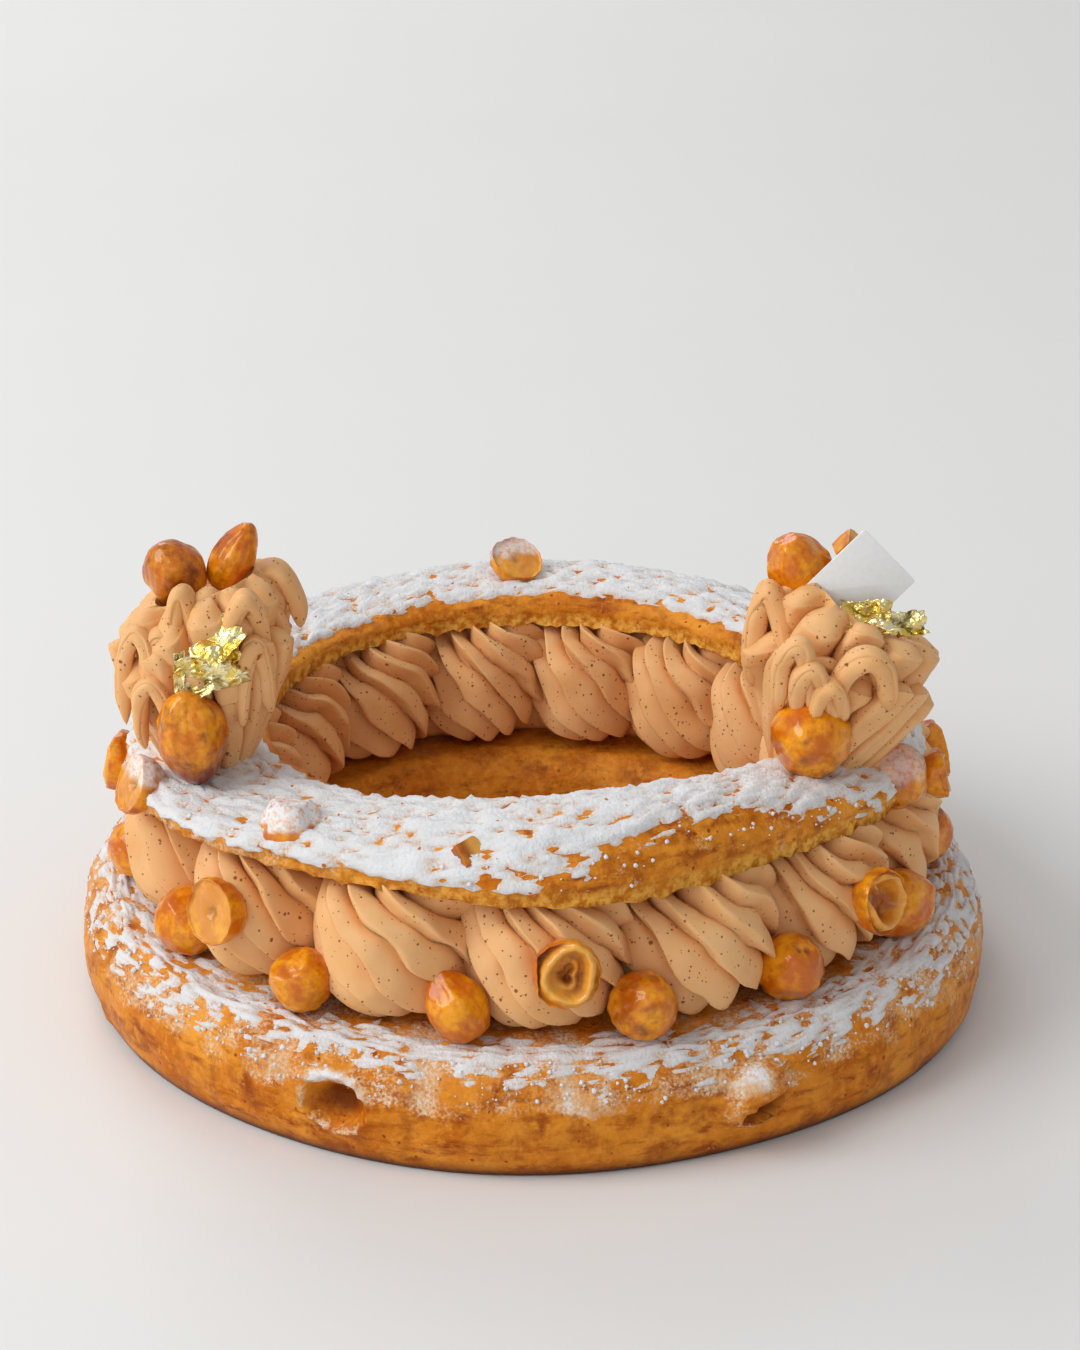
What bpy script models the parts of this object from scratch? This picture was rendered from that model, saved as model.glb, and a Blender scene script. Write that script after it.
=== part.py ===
"""A paris-brest: a ring of choux pastry cut in two, filled with piped praline cream,
with caramelised hazelnuts, two piped rosettes, gold leaf and a small card on top.

The origin is on the table at the centre of the ring, +Z is up and -Y is the front.
An angle round the ring is in degrees from the front, growing towards +X.
"""

import math
import random

import bmesh
import bpy
from mathutils import Matrix, Vector

# Choux base, the lower half of the ring
BASE_RADIUS = 0.1130
BASE_HOLE_RADIUS = 0.0565
BASE_HEIGHT = 0.0265
BASE_WAIST = 0.0125
BASE_SEGMENTS, BASE_SIDES = 60, 12

# Choux lid, the upper half
LID_RADIUS = 0.0985
LID_HOLE_RADIUS = 0.0662
LID_UNDERSIDE = 0.0608
LID_CROWN = 0.0088
LID_EDGE = 0.0025
LID_SEGMENTS, LID_SIDES = 60, 10

# Piped cream between them
SWIRLS = 15
SWIRL_RING_RADIUS = 0.0805
SWIRL_REACH = 0.0220
SWIRL_HALF_WIDTH = 0.0190
SWIRL_RIBS = 8
SWIRL_TWIST = 160.0
GROOVE_DEPTH = 0.27
CORE_HALF_WIDTH = 0.0095

# Piped rosettes on the lid
ROSETTE_RIBS = 9
ROSETTE_FOOT = 0.0640

# Hazelnuts, gold leaf and card
NUT_RADIUS = 0.0073
NUT_LENGTH_SHARE = 1.07
CARD_WIDTH, CARD_HEIGHT, CARD_THICKNESS = 0.0210, 0.0170, 0.0008
CARD_CENTRE = (0.0746, -0.0370, 0.1112)
LEAF_THICKNESS = 0.0005

LEVELS = 6
GAP = 0.0003
SEED = 7

# Share of a swirl's full reach at each share of its height, from the base to the lid
SWIRL_OUTLINE = ((0.0, 0.80), (0.18, 0.95), (0.45, 1.0), (0.75, 0.92), (1.0, 0.76))
ROSETTE_OUTLINE = ((0.0, 0.72), (0.25, 0.93), (0.5, 1.0), (0.8, 0.86), (1.0, 0.45))

# Every other swirl has a halved nut on its face; two next to each other at the back have none
SWIRLS_WITH_A_HALVED_NUT = (0, 2, 4, 6, 8, 11, 13)


def around(angle, radius, height=0.0):
    """The point at this angle round the ring."""
    turn = math.radians(angle)
    return Vector((radius * math.sin(turn), -radius * math.cos(turn), height))


def angle_of(point):
    return math.degrees(math.atan2(point.x, -point.y))


def wave(angle, times, phase=0.0):
    return math.cos(math.radians(times * angle + phase))


def signed_power(value, power):
    return math.copysign(abs(value) ** power, value)


def along(outline, share):
    """The outline's value at this share of the height, eased between its stations."""
    for (low, before), (high, after) in zip(outline, outline[1:]):
        if share <= high:
            step = (share - low) / (high - low)
            return before + (after - before) * step * step * (3 - 2 * step)
    return outline[-1][1]


def clear_scene():
    for obj in list(bpy.data.objects):
        bpy.data.objects.remove(obj, do_unlink=True)


def new_collection(name):
    made = bpy.data.collections.new(name)
    bpy.context.scene.collection.children.link(made)
    return made


def finish_of(name, colour, roughness, metallic=0.0):
    """A material of one colour, roughness and metallic value."""
    material = bpy.data.materials.new(name)
    material.use_nodes = True
    shader = material.node_tree.nodes["Principled BSDF"]
    shader.inputs["Base Color"].default_value = (*colour, 1.0)
    shader.inputs["Roughness"].default_value = roughness
    shader.inputs["Metallic"].default_value = metallic
    return material


def take_in(obj, name, collection, material):
    """Names the object and moves it to its collection."""
    obj.name = obj.data.name = name
    for old in list(obj.users_collection):
        old.objects.unlink(obj)
    collection.objects.link(obj)
    obj.data.materials.clear()
    obj.data.materials.append(material)
    return obj


def object_from(bm, name, collection, material):
    mesh = bpy.data.meshes.new(name)
    if bm.calc_volume(signed=True) < 0:
        bmesh.ops.reverse_faces(bm, faces=bm.faces)
    bm.to_mesh(mesh)
    bm.free()
    obj = bpy.data.objects.new(name, mesh)
    bpy.context.scene.collection.objects.link(obj)
    take_in(obj, name, collection, material)
    obj.data.shade_smooth()
    return obj


def apply_modifier(obj, modifier):
    bpy.context.view_layer.objects.active = obj
    bpy.ops.object.modifier_apply(modifier=modifier.name)


def apply_boolean(obj, others, operation):
    """Joins or cuts obj with the other objects, one after the other, and removes them."""
    for other in others:
        modifier = obj.modifiers.new(operation.title(), "BOOLEAN")
        modifier.object = other
        modifier.operation = operation
        modifier.solver = "EXACT"
        apply_modifier(obj, modifier)
        bpy.data.objects.remove(other, do_unlink=True)


def join_all(obj, collection):
    """Joins obj with everything in the collection by one Boolean union, and removes the collection."""
    modifier = obj.modifiers.new("Union", "BOOLEAN")
    modifier.operand_type = "COLLECTION"
    modifier.collection = collection
    modifier.operation = "UNION"
    modifier.solver = "EXACT"
    apply_modifier(obj, modifier)
    for other in list(collection.objects):
        bpy.data.objects.remove(other, do_unlink=True)
    bpy.data.collections.remove(collection)


def grown_copy(obj, by, collection):
    """A copy whose surface stands this much further out, to cut a pocket with."""
    bm = bmesh.new()
    bm.from_mesh(obj.data)
    bm.normal_update()
    for vertex, normal in [(v, v.normal.copy()) for v in bm.verts]:
        vertex.co += normal * by
    return object_from(bm, obj.name + "_pocket", collection, obj.data.materials[0])


def cut_pockets(obj, pieces, cutters):
    """Makes room in obj for each piece, with the gap round it. A halved nut gets a whole nut's
    pocket, so that nothing is left standing in front of its cut face."""
    cream = obj.data.materials[0]
    pockets = []
    for piece in pieces:
        if "whole_size" in piece:
            pockets.append(hazelnut(piece.name + "_pocket", Vector(piece["place"]), Vector(piece["facing"]),
                                    piece["whole_size"] + 1.5 * GAP, cutters, cream))
        else:
            pockets.append(grown_copy(piece, GAP, cutters))
    apply_boolean(obj, pockets, "DIFFERENCE")
    drop_scraps(obj)


def drop_scraps(obj):
    """Keeps obj's largest body, as cutting can leave a scrap of cream between two pockets."""
    bm = bmesh.new()
    bm.from_mesh(obj.data)
    unseen, bodies = set(bm.verts), []
    while unseen:
        body, to_visit = set(), [next(iter(unseen))]
        while to_visit:
            vertex = to_visit.pop()
            if vertex not in body:
                body.add(vertex)
                to_visit.extend(edge.other_vert(vertex) for edge in vertex.link_edges)
        unseen -= body
        bodies.append(body)
    largest = max(bodies, key=len)
    scraps = [vertex for body in bodies if body is not largest for vertex in body]
    bmesh.ops.delete(bm, geom=scraps, context="VERTS")
    bm.to_mesh(obj.data)
    bm.free()


def torus(name, segments, sides, section, collection, material):
    """A ring whose skin at each angle is section(angle, lean) -> (radius, height), where lean is
    the way round the cross-section: 0 faces outwards and 90 degrees upwards."""
    middle = 0.08
    bpy.ops.mesh.primitive_torus_add(
        major_segments=segments, minor_segments=sides, major_radius=middle, minor_radius=middle / 4
    )
    ring = bpy.context.object
    for vertex in ring.data.vertices:
        out = math.hypot(vertex.co.x, vertex.co.y) - middle
        lean = math.atan2(vertex.co.z, out)
        angle = angle_of(vertex.co)
        vertex.co = around(angle, *section(angle, lean))
    return take_in(ring, name, collection, material)


def base_section(angle, lean):
    """The baked ring: flat below, bulging outwards, and cut level at the top."""
    swell = 0.0010 * wave(angle, 2, -140) + 0.0006 * wave(angle, 4, 95) + 0.0005 * wave(angle, 6, 10)
    outer = BASE_RADIUS + swell
    middle, reach = (outer + BASE_HOLE_RADIUS) / 2, (outer - BASE_HOLE_RADIUS) / 2
    half_height = 0.0180
    squareness = 0.75 if lean > 0 else 0.42
    radius = middle + reach * signed_power(math.cos(lean), squareness)
    height = BASE_WAIST + half_height * signed_power(math.sin(lean), 0.9)
    return radius, min(max(height, 0.0), BASE_HEIGHT)


def make_base(collection, cutters, material):
    """The lower crust, with two nuts baked into its side and the crater that a third one left."""
    base = torus("base_crust", BASE_SEGMENTS, BASE_SIDES, base_section, collection, material)
    lumps = [
        crust_lump("crater_rim", -22.7, 0.1085, 0.0140, (0.0070, 0.0050, 0.0062), cutters, material),
        crust_lump("baked_nut_right", 32.5, 0.1080, 0.0125, (0.0080, 0.0060, 0.0062), cutters, material),
        crust_lump("baked_nut_left", -35.0, 0.1040, 0.0225, (0.0062, 0.0060, 0.0048), cutters, material),
    ]
    apply_boolean(base, lumps, "UNION")
    crater = crust_lump("crater", -22.7, 0.1140, 0.0145, (0.0050, 0.0040, 0.0042), cutters, material)
    apply_boolean(base, [crater], "DIFFERENCE")
    base.data.shade_smooth()
    return base


def crust_lump(name, angle, radius, height, half_sizes, collection, material):
    """An ellipsoid at the crust: half sizes along the ring, outwards and up."""
    bm = bmesh.new()
    bmesh.ops.create_uvsphere(bm, u_segments=8, v_segments=6, radius=1.0)
    sizes = Matrix.Diagonal((*half_sizes, 1.0))
    turned = Matrix.Rotation(math.radians(angle), 4, "Z")
    bm.transform(Matrix.Translation(around(angle, radius, height)) @ turned @ sizes)
    return object_from(bm, name, collection, material)


def lid_section(angle, lean, stand_off=0.0):
    """The lid: a dome on a level cut face, tall at the front and back and low at the sides.
    stand_off moves the whole skin outwards."""
    scallop = 0.0025 * wave(angle, 6, -32) * (0.75 + 0.25 * wave(angle, 1))
    outer = LID_RADIUS + 0.0022 * wave(angle, 1, 110) + scallop + stand_off
    inner = LID_HOLE_RADIUS - 0.0020 * wave(angle, 1, 26) - stand_off
    middle, reach = (outer + inner) / 2, (outer - inner) / 2
    swell = 0.0018 * wave(angle, 1, -23) + 0.0034 * wave(angle, 2, -14) + 0.0016 * wave(angle, 3, -70)
    crown = LID_CROWN + swell + stand_off
    rise = math.sin(lean)
    radius = middle + reach * signed_power(math.cos(lean), 0.85 if rise > 0 else 0.6)
    if rise < -0.01:
        return radius, LID_UNDERSIDE - stand_off
    return radius, LID_UNDERSIDE + LID_EDGE + (crown - LID_EDGE) * max(rise, 0.0) ** 0.85


def make_lid(collection, material):
    lid = torus("lid_crust", LID_SEGMENTS, LID_SIDES, lid_section, collection, material)
    lid.data.shade_smooth()
    return lid


def ribbed_swirl(name, ribs, point_of, collection, material):
    """A piped swirl, from a sphere whose rings are its levels and whose poles close its two ends.
    point_of(step, depth, share) gives each point: step counts crests and grooves in turn, depth is
    the share of the reach that is left there, and share is the height's."""
    bm = bmesh.new()
    bmesh.ops.create_uvsphere(bm, u_segments=2 * ribs, v_segments=LEVELS + 1, radius=1.0)
    for vertex in bm.verts:
        ring = round(math.acos(max(-1.0, min(1.0, vertex.co.z))) / math.pi * (LEVELS + 1))
        share = 1.0 - (min(max(ring, 1), LEVELS) - 1) / (LEVELS - 1)
        step = round(math.atan2(vertex.co.y, vertex.co.x) / math.pi * ribs)
        if ring in (0, LEVELS + 1):
            depth = 0.0
        else:
            depth = 1.0 if step % 2 == 0 else 1.0 - GROOVE_DEPTH
        vertex.co = point_of(step, depth, share)
    bmesh.ops.triangulate(bm, faces=bm.faces, quad_method="SHORT_EDGE")
    return object_from(bm, name, collection, material)


def swirl_angle(index):
    """Where the swirl stands round the ring: nearly evenly spaced, and crowded towards the back left."""
    angle = 2.0 + index * 360.0 / SWIRLS
    return angle - 0.7 + 2.3 * wave(angle, 1) + 1.3 * wave(angle, 2, 117)


def swirl_point(index, draw):
    """point_of for a swirl of the filling, whose ribs run down to the right."""
    angle = swirl_angle(index)
    centre = around(angle, SWIRL_RING_RADIUS)
    outwards = around(angle, 1.0)
    sideways = Vector((-outwards.y, outwards.x, 0.0))
    foot, top = BASE_HEIGHT + GAP, LID_UNDERSIDE - GAP
    size = 1.0 + draw.uniform(-0.03, 0.03)
    phase = draw.uniform(0.0, 45.0)
    twist = SWIRL_TWIST + draw.uniform(-14.0, 14.0)

    def point(step, depth, share):
        height = foot + (top - foot) * share
        spread = along(SWIRL_OUTLINE, share) * size * depth
        turn = math.radians(step * 180.0 / SWIRL_RIBS + phase + twist * (1.0 - share))
        out = outwards * math.cos(turn) * SWIRL_REACH * spread
        side = sideways * math.sin(turn) * SWIRL_HALF_WIDTH * spread
        return centre + out + side + Vector((0, 0, height))

    return point


def core_section(angle, lean):
    """The cream inside the swirls, a plain square ring."""
    foot, top = BASE_HEIGHT + 2 * GAP, LID_UNDERSIDE - 2 * GAP
    side = 1 if math.cos(lean) > 0 else -1
    radius = SWIRL_RING_RADIUS - 0.0015 + side * CORE_HALF_WIDTH
    return radius, top if math.sin(lean) > 0 else foot


def make_filling(collection, material, draw):
    """All the cream between the crusts: the swirls and the core that they hide."""
    filling = torus("cream_filling", 2 * SWIRLS, 4, lambda a, lean: core_section(a, lean + math.pi / 4),
                    collection, material)
    swirls = new_collection("swirls")
    for index in range(SWIRLS):
        ribbed_swirl(f"swirl_{index}", SWIRL_RIBS, swirl_point(index, draw), swirls, material)
    join_all(filling, swirls)
    return filling


def make_rosette(name, centre, lean, reach, height, twist, collection, cutters, material):
    """A piped rosette that stands across the lid and leans along lean."""
    foot = Vector((*centre, ROSETTE_FOOT))
    up = Vector(lean).normalized()
    right = Vector((0, 1, 0)).cross(up).normalized()
    back = up.cross(right)

    def point(step, depth, share):
        dome = 0.05 if depth == 0.0 and share == 1.0 else 0.0
        level = foot + up * height * (share + dome)
        spread = along(ROSETTE_OUTLINE, share) * reach * depth
        turn = math.radians(step * 180.0 / ROSETTE_RIBS + twist * share)
        return level + (right * math.cos(turn) + back * math.sin(turn)) * spread

    rosette = ribbed_swirl(name, ROSETTE_RIBS, point, collection, material)
    seat = torus("lid_seat", LID_SEGMENTS, LID_SIDES,
                 lambda angle, side: lid_section(angle, side, 1.2 * GAP), cutters, material)
    apply_boolean(rosette, [seat], "DIFFERENCE")
    return rosette


def hazelnut(name, place, facing, size, collection, material, kind="whole"):
    """A hazelnut whose tip points along facing.
    A halved one shows its cut face and its hollow there, and a chopped one is broken flat."""
    bm = bmesh.new()
    bmesh.ops.create_uvsphere(bm, u_segments=8, v_segments=5, radius=1.0)
    for vertex in bm.verts:
        across = math.hypot(vertex.co.x, vertex.co.y)
        if kind == "whole":
            vertex.co.z *= NUT_LENGTH_SHARE + (0.10 if vertex.co.z > 0.9 else 0.0)
        elif kind == "halved":
            vertex.co.z = 0.22 if vertex.co.z > 0.2 else vertex.co.z
            if across < 0.6 and vertex.co.z > 0:
                vertex.co.z = -0.20 if across < 0.2 else 0.02
        else:
            vertex.co.x = max(min(vertex.co.x, 0.62), -0.70)
            vertex.co.z = max(min(vertex.co.z, 0.45), -0.50)
    turn = Vector(facing).to_track_quat("Z", "Y").to_matrix().to_4x4()
    bm.transform(Matrix.Translation(place) @ turn @ Matrix.Scale(size, 4))
    nut = object_from(bm, name, collection, material)
    if kind == "halved":
        nut["place"], nut["facing"], nut["whole_size"] = tuple(place), tuple(facing), size
    return nut


def foot_nuts(collection, material, draw):
    """One nut in the notch between each two swirls, standing on the base."""
    nuts = []
    for index in range(SWIRLS):
        near, far = swirl_angle(index), swirl_angle(index + 1)
        angle = (near + far) / 2 + draw.uniform(-1.0, 1.0)
        size = NUT_RADIUS * draw.uniform(0.96, 1.06)
        height = BASE_HEIGHT + 1.5 * GAP + size * 1.03
        tilt = Vector((draw.uniform(-1, 1), draw.uniform(-1, 1), draw.uniform(-0.4, 0.4)))
        place = around(angle, 0.0975 + draw.uniform(-0.0008, 0.0008), height)
        nuts.append(hazelnut(f"foot_nut_{index:02d}", place, tilt, size, collection, material))
    return nuts


def face_nuts(collection, material, draw):
    """Halved nuts pressed into the outer faces of some swirls, their hollows outwards."""
    nuts = []
    for number, index in enumerate(SWIRLS_WITH_A_HALVED_NUT):
        angle = swirl_angle(index) + draw.uniform(-1.0, 1.5)
        place = around(angle, 0.1010, 0.0470 + draw.uniform(-0.002, 0.002))
        facing = around(angle + draw.uniform(-14, 14), 1.0, draw.uniform(0.0, 0.35))
        name = f"face_nut_{number}"
        nuts.append(hazelnut(name, place, facing, NUT_RADIUS * 1.05, collection, material, "halved"))
    return nuts


def lid_nuts(collection, material):
    """Nuts baked into the lid: name, angle, radius, height, way it faces, size, kind."""
    rows = (
        ("lid_nut_left", -64.0, 0.1035, 0.0655, (-0.8, -0.4, 0.4), 0.0072, "halved"),
        ("lid_nut_front", -36.0, 0.0905, 0.0665, (0.2, -0.7, 0.5), 0.0062, "halved"),
        ("lid_nut_chip", -8.0, 0.0940, 0.0700, (0.0, -0.7, 0.7), 0.0042, "chopped"),
        ("lid_nut_right", 64.0, 0.0950, 0.0655, (0.3, -0.3, 0.8), 0.0072, "whole"),
        ("lid_nut_edge", 70.0, 0.1045, 0.0640, (1.0, 0.0, 0.2), 0.0060, "halved"),
        ("lid_nut_back", -177.0, 0.0820, 0.0750, (0.9, 0.0, 0.3), 0.0062, "chopped"),
    )
    return [hazelnut(name, around(angle, radius, height), facing, size, collection, material, kind)
            for name, angle, radius, height, facing, size, kind in rows]


def rosette_nuts(side, rows, collection, material):
    """Nuts in a rosette, each at a point, facing a way, with its size and kind."""
    return [hazelnut(f"{side}_nut_{number}", Vector(place), facing, size, collection, material, kind)
            for number, (place, facing, size, kind) in enumerate(rows)]


def gold_leaf(name, place, facing, width, length, crumple, collection, material):
    """A torn scrap of gold leaf: a thin wavy sheet with both faces split alike."""
    columns, rows = 5, 4
    bm = bmesh.new()
    bmesh.ops.create_grid(bm, x_segments=columns, y_segments=rows, size=0.5)
    for vertex in bm.verts:
        across, up = vertex.co.x, vertex.co.y
        torn = 1.0 + 0.16 * math.sin(9 * across + 5 * up) + 0.10 * math.cos(13 * up)
        fold = math.sin(8 * across + 2 * up) + 0.6 * math.cos(11 * up - 3 * across)
        vertex.co = Vector((across * width * torn, up * length * torn, crumple * fold))
    bmesh.ops.triangulate(bm, faces=bm.faces)
    turn = Vector(facing).to_track_quat("Z", "Y").to_matrix().to_4x4()
    bm.transform(Matrix.Translation(place) @ turn)
    leaf = object_from(bm, name, collection, material)
    shell = leaf.modifiers.new("Thickness", "SOLIDIFY")
    shell.thickness = LEAF_THICKNESS
    shell.offset = 0.0
    bpy.context.view_layer.objects.active = leaf
    bpy.ops.object.modifier_apply(modifier=shell.name)
    return leaf


def label_card(collection, material):
    """The small card stood on one corner in the right rosette."""
    bpy.ops.mesh.primitive_cube_add(size=1.0)
    card = take_in(bpy.context.object, "label_card", collection, material)
    tilt_back, turn_in_plane = math.radians(-8), math.radians(-45)
    pose = (Matrix.Translation(CARD_CENTRE) @ Matrix.Rotation(tilt_back, 4, "X")
            @ Matrix.Rotation(turn_in_plane, 4, "Y"))
    card.data.transform(pose @ Matrix.Diagonal((CARD_WIDTH, CARD_THICKNESS, CARD_HEIGHT, 1.0)))
    return card


def main():
    clear_scene()
    draw = random.Random(SEED)
    model = new_collection("paris_brest")
    cutters = new_collection("cutters")
    crust = finish_of("choux_crust", (0.52, 0.22, 0.05), 0.55)
    cream = finish_of("praline_cream", (0.62, 0.38, 0.20), 0.50)
    nut = finish_of("caramel_nut", (0.55, 0.20, 0.02), 0.25)
    gold = finish_of("gold_leaf", (0.95, 0.70, 0.20), 0.20, 1.0)
    card = finish_of("white_card", (0.80, 0.80, 0.79), 0.45)

    make_base(model, cutters, crust)
    lid = make_lid(model, crust)
    filling = make_filling(model, cream, draw)
    left = make_rosette("rosette_left", (-0.0765, -0.0300), (0.02, 0.04, 1.0), 0.0215, 0.0500, 25.0,
                        model, cutters, cream)
    right = make_rosette("rosette_right", (0.0745, -0.0330), (-0.06, 0.06, 1.0), 0.0225, 0.0470, 70.0,
                         model, cutters, cream)

    on_filling = foot_nuts(model, nut, draw) + face_nuts(model, nut, draw)
    on_lid = lid_nuts(model, nut)
    on_left = rosette_nuts("left", (
        ((-0.0822, -0.0300, 0.1118), (-0.4, -0.2, 0.9), 0.0070, "whole"),
        ((-0.0693, -0.0270, 0.1129), (0.3, 0.0, 1.0), 0.0054, "whole"),
        ((-0.0774, -0.0500, 0.0804), (0.1, -1.0, 0.2), 0.0082, "whole"),
    ), model, nut)
    on_right = rosette_nuts("right", (
        ((0.0625, -0.0275, 0.1120), (-0.5, -0.3, 0.8), 0.0076, "whole"),
        ((0.0736, -0.0270, 0.1171), (0.7, 0.0, 0.7), 0.0046, "chopped"),
        ((0.0640, -0.0520, 0.0807), (-0.2, -1.0, 0.3), 0.0086, "whole"),
    ), model, nut)
    leaves_left = [
        gold_leaf("gold_leaf_left", (-0.0717, -0.0510, 0.0992), (0.25, -1.0, 0.35), 0.0140, 0.0160,
                  0.0007, model, gold),
        gold_leaf("gold_leaf_strip", (-0.0796, -0.0510, 0.0955), (-0.30, -1.0, 0.10), 0.0030, 0.0095,
                  0.0004, model, gold),
    ]
    leaves_right = [
        gold_leaf("gold_leaf_right", (0.0767, -0.0440, 0.1062), (0.0, -0.8, 0.6), 0.0110, 0.0080,
                  0.0006, model, gold),
        gold_leaf("gold_leaf_folded", (0.0856, -0.0420, 0.1037), (0.2, -0.5, 0.8), 0.0090, 0.0060,
                  0.0004, model, gold),
    ]
    board = label_card(model, card)

    cut_pockets(filling, on_filling + on_lid, cutters)
    cut_pockets(lid, on_lid + on_left + on_right, cutters)
    cut_pockets(left, on_left + on_lid + leaves_left, cutters)
    cut_pockets(right, [*on_right, *on_lid, *leaves_right, board], cutters)


main()
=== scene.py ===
# %% [markdown]
# # A paris-brest, dressed for its portrait
#
# The real cake is a ring of choux pastry cut in two, filled with fifteen twisted swirls of praline
# cream, and finished with caramelised hazelnuts, icing sugar, two piped rosettes, gold leaf and a
# small card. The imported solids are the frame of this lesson. It reads the toppings' places from
# them, repeats their formulas for the ring, and builds the visible pieces over them, one cell at a
# time. All lengths are in metres, unless a comment says otherwise.

import math
import random

import bpy
import numpy as np
from mathutils import Matrix, Vector, noise


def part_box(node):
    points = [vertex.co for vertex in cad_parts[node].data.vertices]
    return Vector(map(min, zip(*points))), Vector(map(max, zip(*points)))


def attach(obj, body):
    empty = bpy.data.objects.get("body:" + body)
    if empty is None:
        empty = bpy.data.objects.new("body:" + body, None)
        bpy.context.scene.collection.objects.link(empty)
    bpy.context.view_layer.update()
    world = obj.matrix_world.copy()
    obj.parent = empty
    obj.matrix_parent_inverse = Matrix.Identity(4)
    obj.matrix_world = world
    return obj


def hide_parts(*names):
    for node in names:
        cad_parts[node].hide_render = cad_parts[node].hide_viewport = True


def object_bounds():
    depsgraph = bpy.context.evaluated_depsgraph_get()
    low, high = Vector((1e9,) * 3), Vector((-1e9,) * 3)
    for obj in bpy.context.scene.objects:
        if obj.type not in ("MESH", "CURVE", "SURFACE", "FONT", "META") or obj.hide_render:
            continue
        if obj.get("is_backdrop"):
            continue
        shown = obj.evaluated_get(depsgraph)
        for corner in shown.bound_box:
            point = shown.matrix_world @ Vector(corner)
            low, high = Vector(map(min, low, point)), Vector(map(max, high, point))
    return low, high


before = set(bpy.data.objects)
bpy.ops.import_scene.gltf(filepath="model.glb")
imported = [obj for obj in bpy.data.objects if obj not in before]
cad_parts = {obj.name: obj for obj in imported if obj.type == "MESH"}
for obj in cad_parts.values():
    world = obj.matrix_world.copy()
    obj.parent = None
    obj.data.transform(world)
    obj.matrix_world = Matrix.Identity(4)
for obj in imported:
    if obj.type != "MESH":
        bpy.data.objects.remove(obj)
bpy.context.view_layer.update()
print("nodes in the frame:", len(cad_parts))

# %% [markdown]
# ## Tools for shaping
#
# Pastry has no flat faces, so most pieces start as a primitive with enough points, and each point
# is then moved by a formula, as a sculptor pushes clay. Numpy moves all the points at once.
# An angle round the ring is in degrees from the front, growing towards +X. The same word is used
# for it everywhere.

# %% Points and normals of a mesh
def deselect_all():
    bpy.ops.object.select_all(action="DESELECT")


def points_of(piece):
    flat = np.empty(3 * len(piece.data.vertices), np.float32)
    piece.data.vertices.foreach_get("co", flat)
    return flat.reshape(-1, 3).astype(float)


def normals_of(piece):
    flat = np.empty(3 * len(piece.data.vertices), np.float32)
    piece.data.vertex_normals.foreach_get("vector", flat)
    return flat.reshape(-1, 3).astype(float)


def move_points(piece, points):
    piece.data.vertices.foreach_set("co", points.astype(np.float32).ravel())
    piece.data.update()


def paint(piece, name, values):
    """Keeps one number for each point of the mesh, which a material reads by its name."""
    layer = piece.data.attributes.new(name, "FLOAT", "POINT")
    layer.data.foreach_set("value", np.asarray(values, np.float32))


def take_primitive(name):
    piece = bpy.context.object
    piece.name = name
    piece.data.name = name
    return piece


def apply_modifier(piece, name, kind, **settings):
    """Adds a modifier with these settings and makes what it does part of the mesh."""
    modifier = piece.modifiers.new(name, kind)
    for setting, value in settings.items():
        setattr(modifier, setting, value)
    bpy.ops.object.modifier_apply(modifier=modifier.name)


def turned_to(facing):
    """The turn that brings a piece's own +Z to this direction."""
    return Vector(facing).to_track_quat("Z", "Y").to_matrix().to_4x4()


# %% Random swells that come out the same in each run
# Unless it is given a seed, Blender's vector noise starts from the clock
noise.seed_set(1)


def noise_places(points, size, seed):
    """Where to read a noise for each point, so that its lumps come out at about this size. Each
    seed reads another stretch of the noise."""
    shift = Vector((seed, 1.7 * seed, 2.3 * seed))
    return [Vector(point) + shift for point in points / size]


def swells(points, size, detail=3, seed=0.0):
    """Soft random numbers, about -1 to 1, one for each point, in lumps of about this size."""
    return np.array([noise.fractal(place, 1.0, 2.0, detail) for place in noise_places(points, size, seed)])


def pebbles(points, size, seed=0.0):
    """1 in the middle of each pebble and 0 between two of them, for pebbles of about this size."""
    near = np.array([noise.voronoi(place)[0][:2] for place in noise_places(points, size, seed)])
    return np.clip((near[:, 1] - near[:, 0]) * 1.6, 0.0, 1.0)


def domes(points, size, seed=0.0):
    """Round heaps side by side, 1 at the top of each and 0 at its foot."""
    near = np.array([noise.voronoi(place)[0][0] for place in noise_places(points, size, seed)])
    return np.sqrt(np.clip(1.0 - (near / 0.66) ** 2, 0.0, 1.0))


def smooth_step(value, low, high):
    share = np.clip((value - low) / (high - low), 0.0, 1.0)
    return share * share * (3 - 2 * share)


# %% Angles round the ring
def wave(angle, times, phase=0.0):
    return np.cos(np.radians(times * angle + phase))


def signed_power(value, power):
    return np.copysign(np.abs(value) ** power, value)


def round_the_ring(angle, radius, height):
    turn = np.radians(angle)
    return np.column_stack((radius * np.sin(turn), -radius * np.cos(turn), height + 0.0 * turn))


def around(angle, radius, height=0.0):
    return Vector(round_the_ring(np.array([angle]), radius, height)[0])


def angle_of(points):
    return np.degrees(np.arctan2(points[:, 0], -points[:, 1]))


def along(outline, share):
    """The outline's value at each share of the height, eased between its stations."""
    shares = [station[0] for station in outline]
    values = [station[1] for station in outline]
    step = np.clip(np.searchsorted(shares, share, side="right") - 1, 0, len(shares) - 2)
    low, high = np.array(shares)[step], np.array(shares)[step + 1]
    before, after = np.array(values)[step], np.array(values)[step + 1]
    return before + (after - before) * smooth_step(share, low, high)


# %% A ring with a section of its own
RING_MIDDLE = 0.08
MOST_SEGMENTS = 256


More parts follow.
